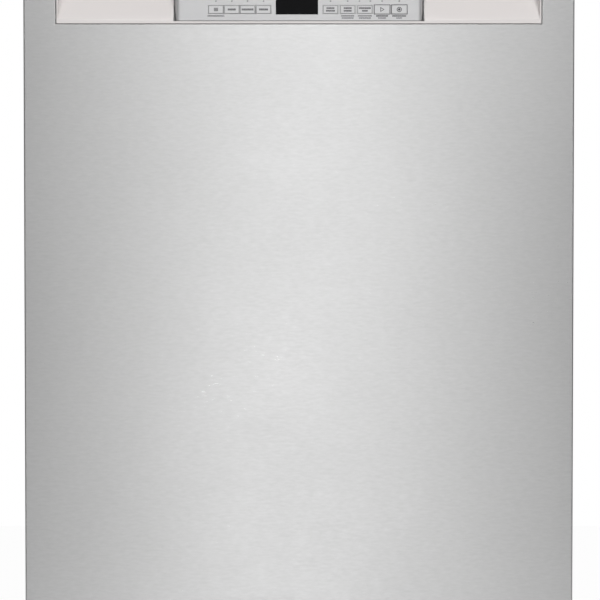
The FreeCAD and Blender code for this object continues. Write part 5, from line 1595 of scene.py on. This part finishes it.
# %% [markdown]
# The detergent lid slides in two grooves. Its thumb ridges stand highest near the lower edge.

# %% Sliding lid
bm = bmesh.new()
a, b = low("dispenser_lid"), high("dispenser_lid")
plate_top = a.y + 2.4 * MM
add_box(bm, (a.x, a.y, a.z), (b.x, plate_top, b.z), 1.0 * MM, 3)
for i in range(5):
    z = a.z + (12 + 4.2 * i) * MM
    add_box(bm, (a.x + 20 * MM, plate_top - 0.5 * MM, z), (b.x - 20 * MM, plate_top + (2.4 - 0.3 * i)
                                                          * MM, z + 2.2 * MM), 0.6 * MM, 2)
add_box(bm, (a.x + 8 * MM, plate_top - 0.4 * MM, b.z - 12 * MM), (b.x - 8 * MM, plate_top + 0.5 * MM,
                                                                 b.z - 9 * MM), 0.3 * MM, 2)
finish_piece("sliding_lid", bm, "dispenser_lid", entry_slot("dispenser_lid"), ["dispenser_lid"])

# %% [markdown]
# The rinse aid cap has a knurled rim for wet fingers and a bar to turn it by.

# %% Rinse aid cap
bm = bmesh.new()
a, b = low("rinse_cap"), high("rinse_cap")
cx, cz, r = (a.x + b.x) / 2, (a.z + b.z) / 2, (b.x - a.x) / 2
add_turned(bm, [(0, 0), (r - 0.6 * MM, 0), (r - 0.6 * MM, 3 * MM), (r - 1.6 * MM, 4 * MM), (0, 4 * MM)],
           (cx, a.y, cz), (0, 1, 0), sides=72)
ring_of_boxes(bm, 36, (r - 1.2 * MM, 0.4 * MM, -0.5 * MM), (r - 0.05 * MM, 3 * MM, 0.5 * MM),
              0.2 * MM, "Y", (cx, a.y, cz))
add_box(bm, (cx - r + 3 * MM, a.y + 3.5 * MM, cz - 2 * MM), (cx + r - 3 * MM, b.y, cz + 2 * MM),
        1.0 * MM, 3)
finish_piece("rinse_aid_cap", bm, "rinse_cap", entry_slot("rinse_cap"), ["rinse_cap"], smooth=34)

# %% [markdown]
# Two trim lines and four dose marks are raised on the dispenser's face.

# %% Dispenser trim
bm = bmesh.new()
a, b = low("dispenser_body"), high("dispenser_body")
for x0, x1, z0, z1 in ((a.x + 3 * MM, b.x - 3 * MM, b.z - 5 * MM, b.z - 3.4 * MM),
                       (a.x + 3 * MM, b.x - 3 * MM, a.z + 3.4 * MM, a.z + 5 * MM)):
    add_box(bm, (x0, b.y - 0.6 * MM, z0), (x1, b.y + 0.1 * MM, z1), 0.25 * MM, 2)
for i in range(4):
    add_turned(bm, [(0, 0.3 * MM), (1.6 * MM, 0.25 * MM), (2.0 * MM, 0), (2.0 * MM, -MM), (0, -MM)],
               (66 * MM, b.y, (455 + 23 * i) * MM), (0, 1, 0), sides=20)
finish_piece("dispenser_trim", bm, "door", "grey_plastic")
print(len(pieces), "pieces made")


# %% [markdown]
# ## Dressing the parts
# Each piece and each engineered part takes the finish of its slot, placed in its material slots.

# %% Dress everything
def dress(item, finish):
    item.data.materials.clear()
    item.data.materials.append(finish.material)


for entry in frame["record"]["subparts"]:
    dress(nodes[entry["node"]], FINISHES[entry["material_slot"]])
for piece in pieces.values():
    dress(piece, FINISHES[piece["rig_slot"]])
for piece in pieces.values():
    even = piece.modifiers.new("even_shading", "WEIGHTED_NORMAL")
    even.keep_sharp = True
for name, piece in pieces.items():
    if "sign" in name or "marks" in name:
        dress(piece, INK)

# %% [markdown]
# ## The studio floor
# A pale floor just under the feet catches the shadow. It isn't part of the machine.

# %% Floor
bm = bmesh.new()
plain = bmesh.ops.create_grid(bm, x_segments=1, y_segments=1, size=1.0)["verts"]
bmesh.ops.scale(bm, vec=(1.3, 1.0, 1), verts=plain)
bmesh.ops.translate(bm, vec=(0, 0.28, 0), verts=plain)
mesh = bpy.data.meshes.new("studio_floor")
bm.to_mesh(mesh)
bm.free()
floor = bpy.data.objects.new("studio_floor", mesh)
bpy.context.scene.collection.objects.link(floor)
floor_finish = Finish("studio_floor", (0.86, 0.86, 0.86), 0.7)
floor_patches = floor_finish.effect(BLOTCHES, Scale=2.0, Contrast=1.2)
floor_finish.spread(floor_patches.outputs["Mask"], 0.1)
tree = floor_finish.tree
glow = tree.nodes.new("ShaderNodeEmission")
glow.inputs["Strength"].default_value = 1.02
path = tree.nodes.new("ShaderNodeLightPath")
share = math_node(tree, "MULTIPLY", path.outputs["Is Camera Ray"], 0.93)
blend = tree.nodes.new("ShaderNodeMixShader")
tree.links.new(share, blend.inputs["Fac"])
tree.links.new(floor_finish.shader.outputs["BSDF"], blend.inputs[1])
tree.links.new(glow.outputs["Emission"], blend.inputs[2])
tree.links.new(blend.outputs["Shader"], tree.nodes["Material Output"].inputs["Surface"])
floor.data.materials.append(floor_finish.material)
